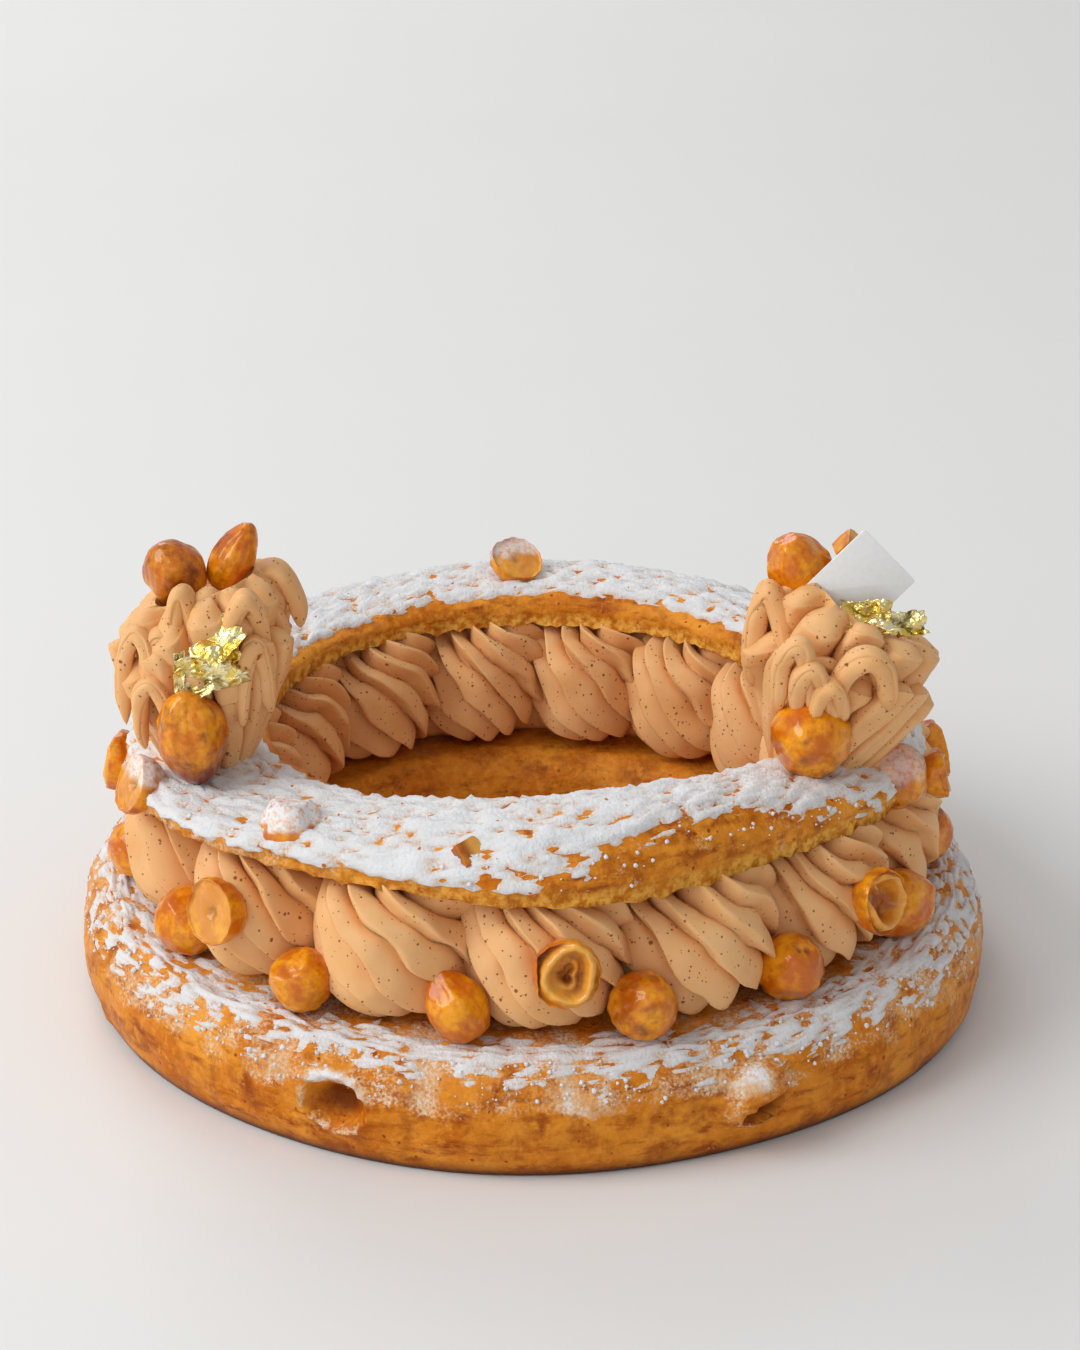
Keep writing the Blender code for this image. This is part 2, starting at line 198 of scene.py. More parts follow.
def make_ring(name, segments, sides, section, dense_at=90.0, denser=0.0):
    """A closed ring from a torus. section(angle, lean) gives radius and height; lean is the way
    round the section, 0 outwards and 90 degrees up. Points crowd together round dense_at. The
    operator makes MOST_SEGMENTS at most, whatever it is asked for."""
    deselect_all()
    bpy.ops.mesh.primitive_torus_add(major_segments=segments, minor_segments=sides,
                                     major_radius=RING_MIDDLE, minor_radius=RING_MIDDLE / 4)
    ring = take_primitive(name)
    points = points_of(ring)
    lean = np.arctan2(points[:, 2], np.hypot(points[:, 0], points[:, 1]) - RING_MIDDLE)
    lean = lean - denser * np.sin(lean - math.radians(dense_at))
    angle = angle_of(points)
    radius, height = section(angle, lean)
    move_points(ring, round_the_ring(angle, radius, height))
    return ring, angle, lean


# %% Hand a piece over to the frame
def finish_piece(piece, material, slot, *nodes):
    """Smooth shading, its material, and the CAD nodes that it stands for."""
    piece.data.materials.clear()
    piece.data.materials.append(material)
    piece.data.shade_smooth()
    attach(piece, "root")
    if nodes:
        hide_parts(*nodes)
    print(f"{piece.name}: {sum(len(f.vertices) - 2 for f in piece.data.polygons)} triangles")
    return piece


# %% [markdown]
# ## Shared shader groups
#
# Three effects come back in several materials: cloudy changes of tone, small dots, and fine relief.
# Each is a node group with named sockets, so a material only says how large and how strong. A
# scale is the number of lumps or cells in a metre, so a larger one gives a finer pattern.

# %% A short way to add a node
def add_node(tree, kind, inputs=None, **settings):
    made = tree.nodes.new("ShaderNode" + kind)
    for name, value in settings.items():
        setattr(made, name, value)
    for name, value in (inputs or {}).items():
        if isinstance(value, bpy.types.NodeSocket):
            tree.links.new(value, made.inputs[name])
        else:
            made.inputs[name].default_value = value
    return made


def new_group(name, ins, outs):
    """An empty node group with these sockets: name, kind and value."""
    tree = bpy.data.node_groups.new(name, "ShaderNodeTree")
    for label, kind, value in ins:
        socket = tree.interface.new_socket(label, in_out="INPUT", socket_type="NodeSocket" + kind)
        if value is not None:
            socket.default_value = value
    for label, kind in outs:
        tree.interface.new_socket(label, in_out="OUTPUT", socket_type="NodeSocket" + kind)
    return tree, tree.nodes.new("NodeGroupInput").outputs, tree.nodes.new("NodeGroupOutput").inputs


# %% Cloudy changes of tone
def make_mottle_group():
    tree, given, result = new_group(
        "Mottle",
        [("Vector", "Vector", None), ("Scale", "Float", 60.0), ("Detail", "Float", 4.0),
         ("Low", "Float", 0.4), ("High", "Float", 0.6)],
        [("Mask", "Float")])
    clouds = add_node(tree, "TexNoise", {
        "Vector": given["Vector"], "Scale": given["Scale"], "Detail": given["Detail"], "Roughness": 0.6})
    spread = add_node(tree, "MapRange", {
        "Value": clouds.outputs["Fac"], "From Min": given["Low"], "From Max": given["High"]})
    tree.links.new(spread.outputs["Result"], result["Mask"])
    return tree


# %% Small dots, some of them left out
def make_speckle_group():
    tree, given, result = new_group(
        "Speckle",
        [("Vector", "Vector", None), ("Scale", "Float", 600.0), ("Share", "Float", 0.2),
         ("Size", "Float", 0.15)],
        [("Mask", "Float")])
    bend = add_node(tree, "TexNoise", {"Vector": given["Vector"], "Scale": 900.0, "Detail": 1.0})
    shift = add_node(tree, "VectorMath", {0: bend.outputs["Color"], 1: (0.0006, 0.0006, 0.0006)},
                     operation="MULTIPLY")
    bent = add_node(tree, "VectorMath", {0: given["Vector"], 1: shift.outputs["Vector"]}, operation="ADD")
    cells = add_node(tree, "TexVoronoi", {"Vector": bent.outputs["Vector"], "Scale": given["Scale"]})
    pick = add_node(tree, "SeparateColor", {"Color": cells.outputs["Color"]})
    chosen = add_node(tree, "Math", {0: pick.outputs["Red"], 1: given["Share"]}, operation="LESS_THAN")
    size = add_node(tree, "Math", {0: given["Size"], 1: pick.outputs["Green"]}, operation="MULTIPLY")
    edge = add_node(tree, "Math", {0: size.outputs["Value"], 1: 1.6}, operation="MULTIPLY")
    dot = add_node(tree, "MapRange", {
        "Value": cells.outputs["Distance"], "From Min": size.outputs["Value"],
        "From Max": edge.outputs["Value"], "To Min": 1.0, "To Max": 0.0})
    both = add_node(tree, "Math", {0: dot.outputs["Result"], 1: chosen.outputs["Value"]},
                    operation="MULTIPLY")
    tree.links.new(both.outputs["Value"], result["Mask"])
    return tree


# %% Fine relief
def make_relief_group():
    tree, given, result = new_group(
        "FineRelief",
        [("Vector", "Vector", None), ("Scale", "Float", 800.0), ("Depth", "Float", 0.0002),
         ("Detail", "Float", 3.0)],
        [("Normal", "Vector")])
    clouds = add_node(tree, "TexNoise", {
        "Vector": given["Vector"], "Scale": given["Scale"], "Detail": given["Detail"], "Roughness": 0.6})
    bump = add_node(tree, "Bump", {"Height": clouds.outputs["Fac"], "Distance": given["Depth"]})
    tree.links.new(bump.outputs["Normal"], result["Normal"])
    return tree


MOTTLE = make_mottle_group()
SPECKLE = make_speckle_group()
RELIEF = make_relief_group()
print("shader groups:", [group.name for group in bpy.data.node_groups])


# %% A short way to use them in a material
class Finish:
    """A material under construction: its tree, its shader, and Object coordinates."""

    def __init__(self, name, roughness, **sockets):
        self.material = bpy.data.materials.new(name)
        self.material.use_nodes = True
        self.tree = self.material.node_tree
        self.shader = self.tree.nodes["Principled BSDF"]
        self.place = add_node(self.tree, "TexCoord").outputs["Object"]
        self.shader.inputs["Roughness"].default_value = roughness
        for socket, value in sockets.items():
            label = socket.replace("_", " ").title().replace("Ior", "IOR")
            self.shader.inputs[label].default_value = value

    def group(self, tree, output="Mask", place=None, **inputs):
        made = self.tree.nodes.new("ShaderNodeGroup")
        made.node_tree = tree
        self.tree.links.new(place or self.place, made.inputs["Vector"])
        for name, value in inputs.items():
            made.inputs[name].default_value = value
        return made.outputs[output]

    def mottle(self, scale, low, high, detail=4.0, place=None):
        return self.group(MOTTLE, place=place, Scale=scale, Low=low, High=high, Detail=detail)

    def layered(self, times):
        """Coordinates that squeeze a pattern into level streaks."""
        squeezed = add_node(self.tree, "Mapping", {"Vector": self.place, "Scale": (1.0, 1.0, times)})
        return squeezed.outputs["Vector"]

    def speckle(self, scale, share, size):
        return self.group(SPECKLE, Scale=scale, Share=share, Size=size)

    def painted(self, name):
        return add_node(self.tree, "Attribute", attribute_name=name).outputs["Fac"]

    def math(self, operation, first, second):
        made = add_node(self.tree, "Math", {0: first, 1: second}, operation=operation)
        return made.outputs["Value"]

    def mix(self, mask, first, second):
        """first where the mask is 0 and second where it is 1; each is a colour or a socket. A Mix
        node names its sockets alike for numbers and colours, so they are taken by their place."""
        made = add_node(self.tree, "Mix", data_type="RGBA")
        factor, first_colour, second_colour, result_colour = 0, 6, 7, 2
        for index, value in ((factor, mask), (first_colour, first), (second_colour, second)):
            if isinstance(value, bpy.types.NodeSocket):
                self.tree.links.new(value, made.inputs[index])
            else:
                made.inputs[index].default_value = value if index == factor else (*value, 1.0)
        return made.outputs[result_colour]

    def spread(self, value, low, high, to_low=0.0, to_high=1.0):
        made = add_node(self.tree, "MapRange", {
            "Value": value, "From Min": low, "From Max": high, "To Min": to_low, "To Max": to_high})
        return made.outputs["Result"]

    def set(self, socket, value):
        self.tree.links.new(value, self.shader.inputs[socket])

    def relief(self, scale, depth, detail=3.0):
        self.set("Normal", self.group(RELIEF, "Normal", Scale=scale, Depth=depth, Detail=detail))

    def done(self):
        print(f"finish {self.material.name}: {len(self.tree.nodes)} nodes")
        return self.material


# %% [markdown]
# ## Baked choux
#
# Choux bakes to a golden brown that is never even: deep amber where it bulges, yellow where it was
# torn or cut, and chalky where sugar dust has settled on it. Three numbers painted on the mesh say
# where it was cut ("crumb"), how much dust it caught ("dust") and where painted shade darkens its
# hollows and its foot ("painted_shade"). A near-black band at its very bottom is painted shade where
# it meets the table.
# The shader breaks up the cut and the dust with noise, so their borders are never clean lines.

# %% The crust finish
CRUST_GOLD = (0.86, 0.340, 0.032)
CRUST_BROWN = (0.33, 0.060, 0.002)
CRUST_AMBER = (0.62, 0.170, 0.005)
CRUMB_YELLOW = (0.86, 0.45, 0.070)
CRUMB_SHADE = (0.52, 0.155, 0.006)
DUST_PEACH = (0.78, 0.49, 0.27)
POWDER_WHITE = (0.84, 0.83, 0.83)
# Painted shade where the base meets the table
CONTACT_SHADE = (0.07, 0.022, 0.006)
# Painted shade in the hollows of the base and at its foot
HOLLOW_SHADE = (0.22, 0.045, 0.002)


def make_crust_finish():
    finish = Finish("choux_crust", 0.5, subsurface_weight=0.06, specular_ior_level=0.12,
                    subsurface_radius=(0.0030, 0.0012, 0.0004))
    broad = finish.mix(finish.mottle(46.0, 0.38, 0.64), CRUST_AMBER, CRUST_GOLD)
    patchy = finish.mix(finish.mottle(120.0, 0.50, 0.72), broad, CRUST_BROWN)
    streaks = finish.mottle(95.0, 0.50, 0.68, 6.0, finish.layered(4.0))
    streaked = finish.mix(streaks, patchy, CRUST_BROWN)
    veined = finish.mix(finish.mottle(420.0, 0.50, 0.78, 6.0), streaked, CRUST_GOLD)
    pitted = finish.mix(finish.speckle(560.0, 0.22, 0.22), veined, CRUST_BROWN)
    torn = finish.mix(finish.mottle(520.0, 0.40, 0.60), CRUMB_SHADE, CRUMB_YELLOW)
    cut = finish.mix(finish.painted("crumb"), pitted, torn)
    grain = finish.mottle(1250.0, 0.34, 0.66, 6.0)
    clouds = finish.mottle(170.0, 0.30, 0.70)
    amount = finish.math("ADD", finish.painted("dust"), finish.math("MULTIPLY", grain, clouds))
    settled = finish.spread(amount, 0.60, 1.02)
    dust = finish.mix(finish.spread(amount, 1.00, 1.50), DUST_PEACH, POWDER_WHITE)
    # Painted shade: dark brown in the crater, in the slit and near the tray
    shaded_hollows = finish.mix(finish.painted("painted_shade"), cut, HOLLOW_SHADE)
    dusty = finish.mix(settled, shaded_hollows, dust)
    height = add_node(finish.tree, "SeparateXYZ", {"Vector": finish.place}).outputs["Z"]
    # Painted shade: near black at the table, fading out about two millimetres up
    shade_at_table = finish.spread(height, 0.0003, 0.0022, 1.0, 0.0)
    finish.set("Base Color", finish.mix(shade_at_table, dusty, CONTACT_SHADE))
    finish.set("Roughness", finish.spread(settled, 0.0, 1.0, 0.36, 0.85))
    finish.relief(700.0, 0.00055, 6.0)
    return finish.done()


CRUST = make_crust_finish()

# %% [markdown]
# ## Icing sugar
#
# Sugar that was sieved on thickly clumps like wet snow and leaves pits where the crust shows. A
# white colour on the crust would look painted, so it is a layer of its own with real thickness.
# Where the layer should be missing, it dips under the crust. Where it is thin ("thin"), the crust's
# colour shows through it.

# %% The sugar finish
SUGAR_WHITE = (0.80, 0.80, 0.81)
SUGAR_THIN = (0.70, 0.40, 0.20)


def make_sugar_finish():
    finish = Finish("icing_sugar", 0.9, subsurface_weight=0.20, specular_ior_level=0.2,
                    subsurface_radius=(0.0010, 0.0009, 0.0008))
    grain = finish.mottle(1500.0, 0.38, 0.58, 5.0)
    thin = finish.math("MULTIPLY", finish.painted("thin"), grain)
    sugared = finish.mix(thin, SUGAR_WHITE, SUGAR_THIN)
    finish.set("Base Color", finish.mix(finish.speckle(420.0, 0.16, 0.16), sugared, CRUST_AMBER))
    finish.relief(950.0, 0.00060, 6.0)
    return finish.done()


SUGAR = make_sugar_finish()

# %% [markdown]
# ## The base
#
# The lower crust is a fat ring, flat below and cut level on top. Its skin follows the same formula
# as the solid, so it fits the frame. Relief on top of that makes it look baked: slow bulges, small
# blisters, faint pleats, two hazelnuts baked into its side, and the crater that a third one left.

# %% The section of the base
BASE_RADIUS = 0.1130
BASE_HOLE_RADIUS = 0.0565
BASE_HEIGHT = 0.0265
BASE_WAIST = 0.0125
BASE_HALF_HEIGHT = 0.0180


def base_section(angle, lean):
    swell = 0.0010 * wave(angle, 2, -140) + 0.0006 * wave(angle, 4, 95) + 0.0005 * wave(angle, 6, 10)
    outer = BASE_RADIUS + swell
    middle, reach = (outer + BASE_HOLE_RADIUS) / 2, (outer - BASE_HOLE_RADIUS) / 2
    radius = middle + reach * signed_power(np.cos(lean), np.where(lean > 0, 0.75, 0.42))
    height = BASE_WAIST + BASE_HALF_HEIGHT * signed_power(np.sin(lean), 0.9)
    return radius, np.clip(height, 0.0, BASE_HEIGHT)


# %% Relief of the base
# A spot on the ring's side: its angle, height, half width, half height and tilt in degrees
CRATER = (-22.7, 0.0145, 0.0072, 0.0056, -12.0)
BAKED_NUT = (26.5, 0.0150, 0.0092, 0.0066, 22.0)
SLIT = (BAKED_NUT[0] + 0.7, BAKED_NUT[1] - 0.0022, 0.0056, 0.0020, 22.0)
BUMP = (-36.0, 0.0215, 0.0060, 0.0045, 0.0)
CRATER_DEPTH, CRATER_RIM = 0.0058, 0.0013
BAKED_NUT_RISE, SLIT_DEPTH, BUMP_RISE = 0.0044, 0.0050, 0.0016


def off_side_spot(points, spot):
    """How far off a spot on the ring's side: 1 at the edge of its ellipse."""
    angle, height, half_width, half_height, tilt = spot
    sideways = np.radians(angle_of(points) - angle) * np.hypot(points[:, 0], points[:, 1])
    upwards = points[:, 2] - height
    cosine, sine = math.cos(math.radians(tilt)), math.sin(math.radians(tilt))
    along_spot = (sideways * cosine + upwards * sine) / half_width
    over_spot = (upwards * cosine - sideways * sine) / half_height
    outside = np.hypot(points[:, 0], points[:, 1]) > 0.095
    return np.where(outside, np.hypot(along_spot, over_spot), 9.0)


def pits(points, size, seed, share=0.4, reach=0.35):
    """1 in the middle of small holes that are scattered about this far apart, some left out."""
    depth = []
    for place in noise_places(points, size, seed):
        near, cells = noise.voronoi(place)
        chosen = noise.cell(cells[0] * 7.3) < share
        depth.append(1.0 - near[0] / reach if chosen and near[0] < reach else 0.0)
    return np.sqrt(np.array(depth))


def dome_over(distance, power=0.5):
    """1 at a spot's middle and 0 from its edge on, round like a lens."""
    return np.clip(1.0 - distance ** 2, 0.0, 1.0) ** power


def pleats(points):
    """1 along the faint upright lines where the piped ridges of the raw choux met."""
    angle = angle_of(points) + 1.6 * swells(points, 0.010, 2, 15.0)
    return np.exp(-((np.mod(angle + 4.0, 17.0) - 8.5) / 1.1) ** 2)


def shoulder_of(points):
    """The grainy, dusty shoulder between the sugar and the smooth side, with a wandering border."""
    border = 0.0150 + 0.0036 * swells(points, 0.015, 2, 17.0)
    return smooth_step(points[:, 2], border - 0.0012, border + 0.0022)


def base_relief(points):
    outside = smooth_step(np.hypot(points[:, 0], points[:, 1]), 0.085, 0.100)
    bulges = 0.0008 * swells(points, 0.016, 2, 3.0) - 0.0006 * pleats(points) * outside
    blisters = 0.00030 * swells(points, 0.0050, 3, 8.0) + 0.00016 * swells(points, 0.0016, 2, 9.0)
    grains = (0.00042 * pebbles(points, 0.0017, 5.0) - 0.0002) * shoulder_of(points)
    crater = off_side_spot(points, CRATER)
    rim = CRATER_RIM * np.exp(-((crater - 1.12) / 0.25) ** 2)
    hole = -CRATER_DEPTH * dome_over(crater, 0.55)
    baked_nut = BAKED_NUT_RISE * dome_over(off_side_spot(points, BAKED_NUT))
    slit = -SLIT_DEPTH * dome_over(off_side_spot(points, SLIT))
    bump = BUMP_RISE * np.exp(-off_side_spot(points, BUMP) ** 2)
    return bulges + blisters + grains + rim + hole + baked_nut + slit + bump


# %% Dust, and painted shade in the hollows of the base
def inside_slit(points):
    return 1.0 - smooth_step(off_side_spot(points, SLIT), 0.7, 1.1)


def dust_on_base(points, outside):
    """Thick on the shoulder and round the crater, none in its hollow, and a cap on the baked nut."""
    patches = 0.30 * swells(points, 0.014, 3, 21.0)
    dust = (0.68 + patches) * shoulder_of(points) * outside + 0.30 * pleats(points) * outside - 0.26
    crater = off_side_spot(points, CRATER)
    on_rim = 1.05 * np.exp(-((crater - 1.10 + 0.10 * swells(points, 0.003, 2, 23.0)) / 0.16) ** 2)
    dust = dust + on_rim - 1.2 * smooth_step(1.0 - crater, 0.0, 0.4)
    nut_angle, nut_height = BAKED_NUT[:2]
    on_nut = 1.0 - smooth_step(off_side_spot(points, BAKED_NUT), 0.88, 1.05)
    high_on_nut = smooth_step(points[:, 2], nut_height + 0.0005, nut_height + 0.0030)
    left_of_nut = smooth_step(nut_angle - angle_of(points), -2.5, 1.0)
    cap = 0.75 * high_on_nut * left_of_nut + 0.5 * swells(points, 0.0022, 2, 25.0) * high_on_nut
    dust = dust * (1.0 - on_nut) + on_nut * (0.40 + cap) - 1.5 * inside_slit(points)
    return np.clip(dust, -0.6, 1.15)


def painted_shade_on_base(points, outside):
    """Painted shade deep in the crater, in the slit of the baked nut, and near the tray."""
    deep_in_hole = smooth_step(1.0 - off_side_spot(points, CRATER), 0.10, 0.45)
    near_floor = 0.7 * (1.0 - smooth_step(points[:, 2], 0.0010, 0.0050))
    return np.clip(deep_in_hole + inside_slit(points) + near_floor * outside, 0.0, 1.0)


# %% Make the base
def make_base():
    base, _, lean = make_ring("base_choux", MOST_SEGMENTS, 148, base_section, 38.0, 0.45)
    points = points_of(base)
    grounded = smooth_step(points[:, 2], 0.0, 0.004)
    moved = points + normals_of(base) * (base_relief(points) * grounded)[:, None]
    moved[:, 2] = np.clip(moved[:, 2], 0.0, BASE_HEIGHT + 0.0008)
    move_points(base, moved)
    outside = smooth_step(np.cos(lean), -0.1, 0.1)
    paint(base, "dust", dust_on_base(points, outside))
    # Painted shade in the crater, in the slit and at the foot
    paint(base, "painted_shade", painted_shade_on_base(points, outside))
    paint(base, "crumb", 0.22 * smooth_step(-np.cos(lean), 0.1, 0.5))
    return finish_piece(base, CRUST, "choux_crust", "base_crust")


make_base()

# %% [markdown]
# The sugar on the base lies in a band round the foot of the cream, and drifts down the shoulder at
# the sides. Its thickness is a formula too: how far a point is inside the band, plus clumps. A few
# lumps rolled off the band and lie loose below it.

# %% A layer of sugar
BURIED = 0.0024
MIDDLE_THICKNESS = 0.00042
LEAST_STAND, MOST_STAND = -0.0010, 0.0024
UNDERSIDE_DIP = 0.0006


def clumps(points):
    """Height of the sugar's clumps above its middle thickness, in metres."""
    return (0.00030 * swells(points, 0.0060, 2, 31.0) + 0.00030 * swells(points, 0.0016, 1, 37.0)
            + 0.00110 * domes(points, 0.0027, 41.0) + 0.00070 * domes(points, 0.0014, 47.0)
            - 0.00170 * pits(points, 0.0050, 43.0, 0.30, 0.26) - 0.00100)


def lay_sugar(name, sides, section, from_lean, to_lean, cover_of, relief_of, lowest=0.0):
    """A closed ring over a stretch of a crust's section. Its upper side stands above the crust by
    the sugar's thickness, and its lower side stays buried."""
    def lean_on_crust(lean):
        return np.radians(from_lean + (to_lean - from_lean) * np.abs(lean) / math.pi)

    def shell(angle, lean):
        radius, height = section(angle, lean_on_crust(lean))
        outer, inner = section(angle, np.zeros_like(lean))[0], section(angle, np.full_like(lean, math.pi))[0]
        middle = (outer + inner) / 2
        inwards = np.where(lean < 0, BURIED / np.abs(outer - middle), 0.0)
        downwards = np.where(lean < 0, BURIED, 0.0)
        return radius + (middle - radius) * inwards, np.maximum(height - downwards, lowest)

    layer, angle, lean = make_ring(name, MOST_SEGMENTS, sides, shell, 90.0, 0.50)
    points = points_of(layer)
    cover = cover_of(angle, lean_on_crust(lean), points)
    thickness = np.clip(MIDDLE_THICKNESS * cover + clumps(points), LEAST_STAND, MOST_STAND)
    upper = (lean > 0.02) & (lean < math.pi - 0.02)
    stand = np.where(upper, relief_of(points) + thickness, -UNDERSIDE_DIP)
    moved = points + normals_of(layer) * stand[:, None]
    moved[:, 2] = np.maximum(moved[:, 2], lowest)
    move_points(layer, moved)
    paint(layer, "thin", 1.0 - smooth_step(thickness, 0.00002, 0.00040))
    return finish_piece(layer, SUGAR, "choux_crust")


# %% Where the sugar lies on the base
BAND_RADIUS, BAND_HALF_WIDTH = 0.1022, 0.0026


def base_sugar_cover(angle, lean, points):
    """Thick in a band round the foot of the swirls, which is wider at the right and at the left."""
    radius = np.hypot(points[:, 0], points[:, 1])
    wider = 0.0030 * np.exp(-((angle - 66) / 34) ** 2) + 0.0014 * np.exp(-((angle + 75) / 30) ** 2)
    wander = 0.0022 * swells(points, 0.008, 3, 51.0)
    off_band = np.abs(radius - BAND_RADIUS - 0.6 * wider + wander) - BAND_HALF_WIDTH - wider
    return 1.35 - 420.0 * np.clip(off_band, 0, 1) - 1.1 * np.clip(swells(points, 0.010, 2, 53.0), 0, 1)


# %% Loose lumps
LEAST_GRAIN, GRAIN_SPREAD = 0.00018, 0.00050


def scatter_grains(name, count, section, relief_of, leans, seed):
    """Small lumps of sugar that rolled off, from one ball that an array copies. Each copy's points
    are then moved to a place of its own on the crust. leans are the least, the most common and the
    greatest lean of the crust where they lie."""
    draw = np.random.default_rng(seed)
    deselect_all()
    bpy.ops.mesh.primitive_ico_sphere_add(subdivisions=2, radius=1.0)
    grains = take_primitive(name)
    apply_modifier(grains, "Copies", "ARRAY", count=count)
    ball = points_of(grains)
    each = len(ball) // count
    number = np.repeat(np.arange(count), each)
    lumps = 0.50 * swells(ball + number[:, None], 0.9, 1, seed)
    shape = np.tile(ball[:each], (count, 1)) * (1.0 + lumps)[:, None]
    angle = draw.uniform(-180, 180, count)
    lean = np.radians(draw.triangular(*leans, count))
    spots = round_the_ring(angle, *section(angle, lean))
    outwards = round_the_ring(angle, np.cos(lean), np.sin(lean))
    spots = spots + outwards * (relief_of(spots) + 0.0001)[:, None]
    sizes = LEAST_GRAIN + GRAIN_SPREAD * draw.random(count) ** 3
    move_points(grains, shape * np.repeat(sizes, each)[:, None] + np.repeat(spots, each, axis=0))
    return finish_piece(grains, SUGAR, "choux_crust")


lay_sugar("base_sugar", 74, base_section, 20.0, 84.0, base_sugar_cover, base_relief)
scatter_grains("base_grains", 1300, base_section, base_relief, (12, 40, 60), 3)

# %% [markdown]
# ## The lid
#
# The upper crust is thin, so it droops over the cream: tall at the front and back, low at the
# sides. Sugar hides most of its top. What shows is the bare brown front, and a torn yellow edge
# where the knife went through. It is a ring like the base, with a flatter section.

# %% The section of the lid
LID_RADIUS = 0.0985
LID_HOLE_RADIUS = 0.0662
LID_UNDERSIDE = 0.0608
LID_CROWN = 0.0088
LID_EDGE = 0.0025


def lid_section(angle, lean):
    scallop = 0.0025 * wave(angle, 6, -32) * (0.75 + 0.25 * wave(angle, 1))
    outer = LID_RADIUS + 0.0022 * wave(angle, 1, 110) + scallop
    inner = LID_HOLE_RADIUS - 0.0020 * wave(angle, 1, 26)
    middle, reach = (outer + inner) / 2, (outer - inner) / 2
    swell = 0.0018 * wave(angle, 1, -23) + 0.0034 * wave(angle, 2, -14) + 0.0016 * wave(angle, 3, -70)
    crown = LID_CROWN + swell
    rise = np.sin(lean)
    radius = middle + reach * signed_power(np.cos(lean), np.where(rise > 0, 0.85, 0.6))
    height = LID_UNDERSIDE + LID_EDGE + (crown - LID_EDGE) * np.clip(rise, 0.0, 1.0) ** 0.85
    return radius, np.where(rise < -0.01, LID_UNDERSIDE, height)


# %% Relief of the lid
def torn_edge(points):
    """1 near the lid's cut face and 0 on its top."""
    return 1.0 - smooth_step(points[:, 2], LID_UNDERSIDE + 0.0022, LID_UNDERSIDE + 0.0050)


def lid_relief(points):
    """Soft lumps all over, and a ragged border where the crust was cut and tore."""
    lumps = 0.00060 * swells(points, 0.0085, 2, 61.0) + 0.00030 * swells(points, 0.0026, 2, 67.0)
    ragged = 0.0011 * pebbles(points, 0.0026, 71.0) + 0.0009 * swells(points, 0.0045, 2, 75.0) - 0.0007
    return lumps + torn_edge(points) * ragged


def make_lid():
    lid, angle, lean = make_ring("lid_choux", MOST_SEGMENTS, 136, lid_section, 70.0, 0.40)
    points = points_of(lid)
    move_points(lid, points + normals_of(lid) * lid_relief(points)[:, None])
    front_left = np.exp(-((angle + 45) / 42) ** 2)
    paint(lid, "crumb", torn_edge(points) * (1.0 - 0.6 * front_left))
    top = 1.0 - torn_edge(points)
    outside = smooth_step(np.cos(lean), -0.5, 0.1)
    dusted = 0.20 * top + 0.26 * swells(points, 0.009, 3, 73.0) - 0.10
    dusted = dusted + 0.60 * torn_edge(points) * front_left
    paint(lid, "dust", np.clip(dusted * outside - 0.45 * (1.0 - outside), -0.5, 0.8))
    return finish_piece(lid, CRUST, "choux_crust", "lid_crust")


make_lid()

# %% Sugar on the lid
def lid_sugar_cover(angle, lean, points):
    """Thick over the crown, ending near the outer edge, and well short of it at the bare front."""
    outwards = np.cos(lean)
    bare_front = 0.56 * np.exp(-((angle - 27) / 24) ** 2)
    outer_limit = 1.02 - 1.15 * bare_front + 0.09 * swells(points, 0.007, 3, 81.0)
    back = 0.5 - 0.5 * wave(angle, 1)
    inner_limit = -0.90 + 0.30 * back + 0.10 * swells(points, 0.008, 2, 83.0)
    past_outer = np.clip(outwards - outer_limit, 0, 2)
    past_inner = np.clip(inner_limit - outwards, 0, 2)
    return 1.75 - 9.0 * past_outer - 14.0 * past_inner


lay_sugar("lid_sugar", 78, lid_section, 2.0, 164.0, lid_sugar_cover, lid_relief, LID_UNDERSIDE + 0.0006)
scatter_grains("lid_grains", 450, lid_section, lid_relief, (2, 25, 60), 4)

# %% [markdown]
# ## Praline cream
#
# The cream is smooth and satiny, light brown, and full of ground hazelnut that shows as dark flecks
# of three sizes. Light goes a little way into it, which softens its shadows.

# %% The cream finish
CREAM_LIGHT = (0.86, 0.505, 0.230)
CREAM_DEEP = (0.81, 0.435, 0.170)
FLECK_BROWN = (0.29, 0.100, 0.032)


def make_cream_finish():
    finish = Finish("praline_cream", 0.50, subsurface_weight=0.16, specular_ior_level=0.25,
                    subsurface_radius=(0.0040, 0.0022, 0.0012), subsurface_scale=0.6)
    cream = finish.mix(finish.mottle(70.0, 0.35, 0.65), CREAM_DEEP, CREAM_LIGHT)
    fine = finish.mix(finish.speckle(1000.0, 0.40, 0.22), cream, FLECK_BROWN)
    small = finish.mix(finish.speckle(620.0, 0.22, 0.20), fine, FLECK_BROWN)
    finish.set("Base Color", finish.mix(finish.speckle(340.0, 0.10, 0.16), small, FLECK_BROWN))
    finish.relief(420.0, 0.00012, 3.0)
    return finish.done()


CREAM = make_cream_finish()

# %% [markdown]
# ## Piped cream
#
# A star nozzle leaves straps with a crisp rim and narrow, deep grooves between them. Each filling
# swirl is one thick turn of such a rope, piped round on itself, so the rope comes first: a sphere's
# poles become its two ends, and its columns follow the straps. The straps overlap like shingles,
# with the rim at the lower side of each and its face running in under the next.

# %% The straps of a star nozzle
def across_strap(phase):
    """0 on the middle of a strap, and -1 and 1 in the grooves below and above it."""
    return np.mod(phase / math.pi + 1.0, 2.0) - 1.0


def round_off(distance, power=2.0):
    """0 on the crown of a rounded form and 1 at its foot, for distances from 0 to 1."""
    return 1.0 - (1.0 - np.clip(distance, 0.0, 1.0) ** power) ** (1.0 / power)


RIM = -0.42
RIM_ROUNDNESS = 1.7


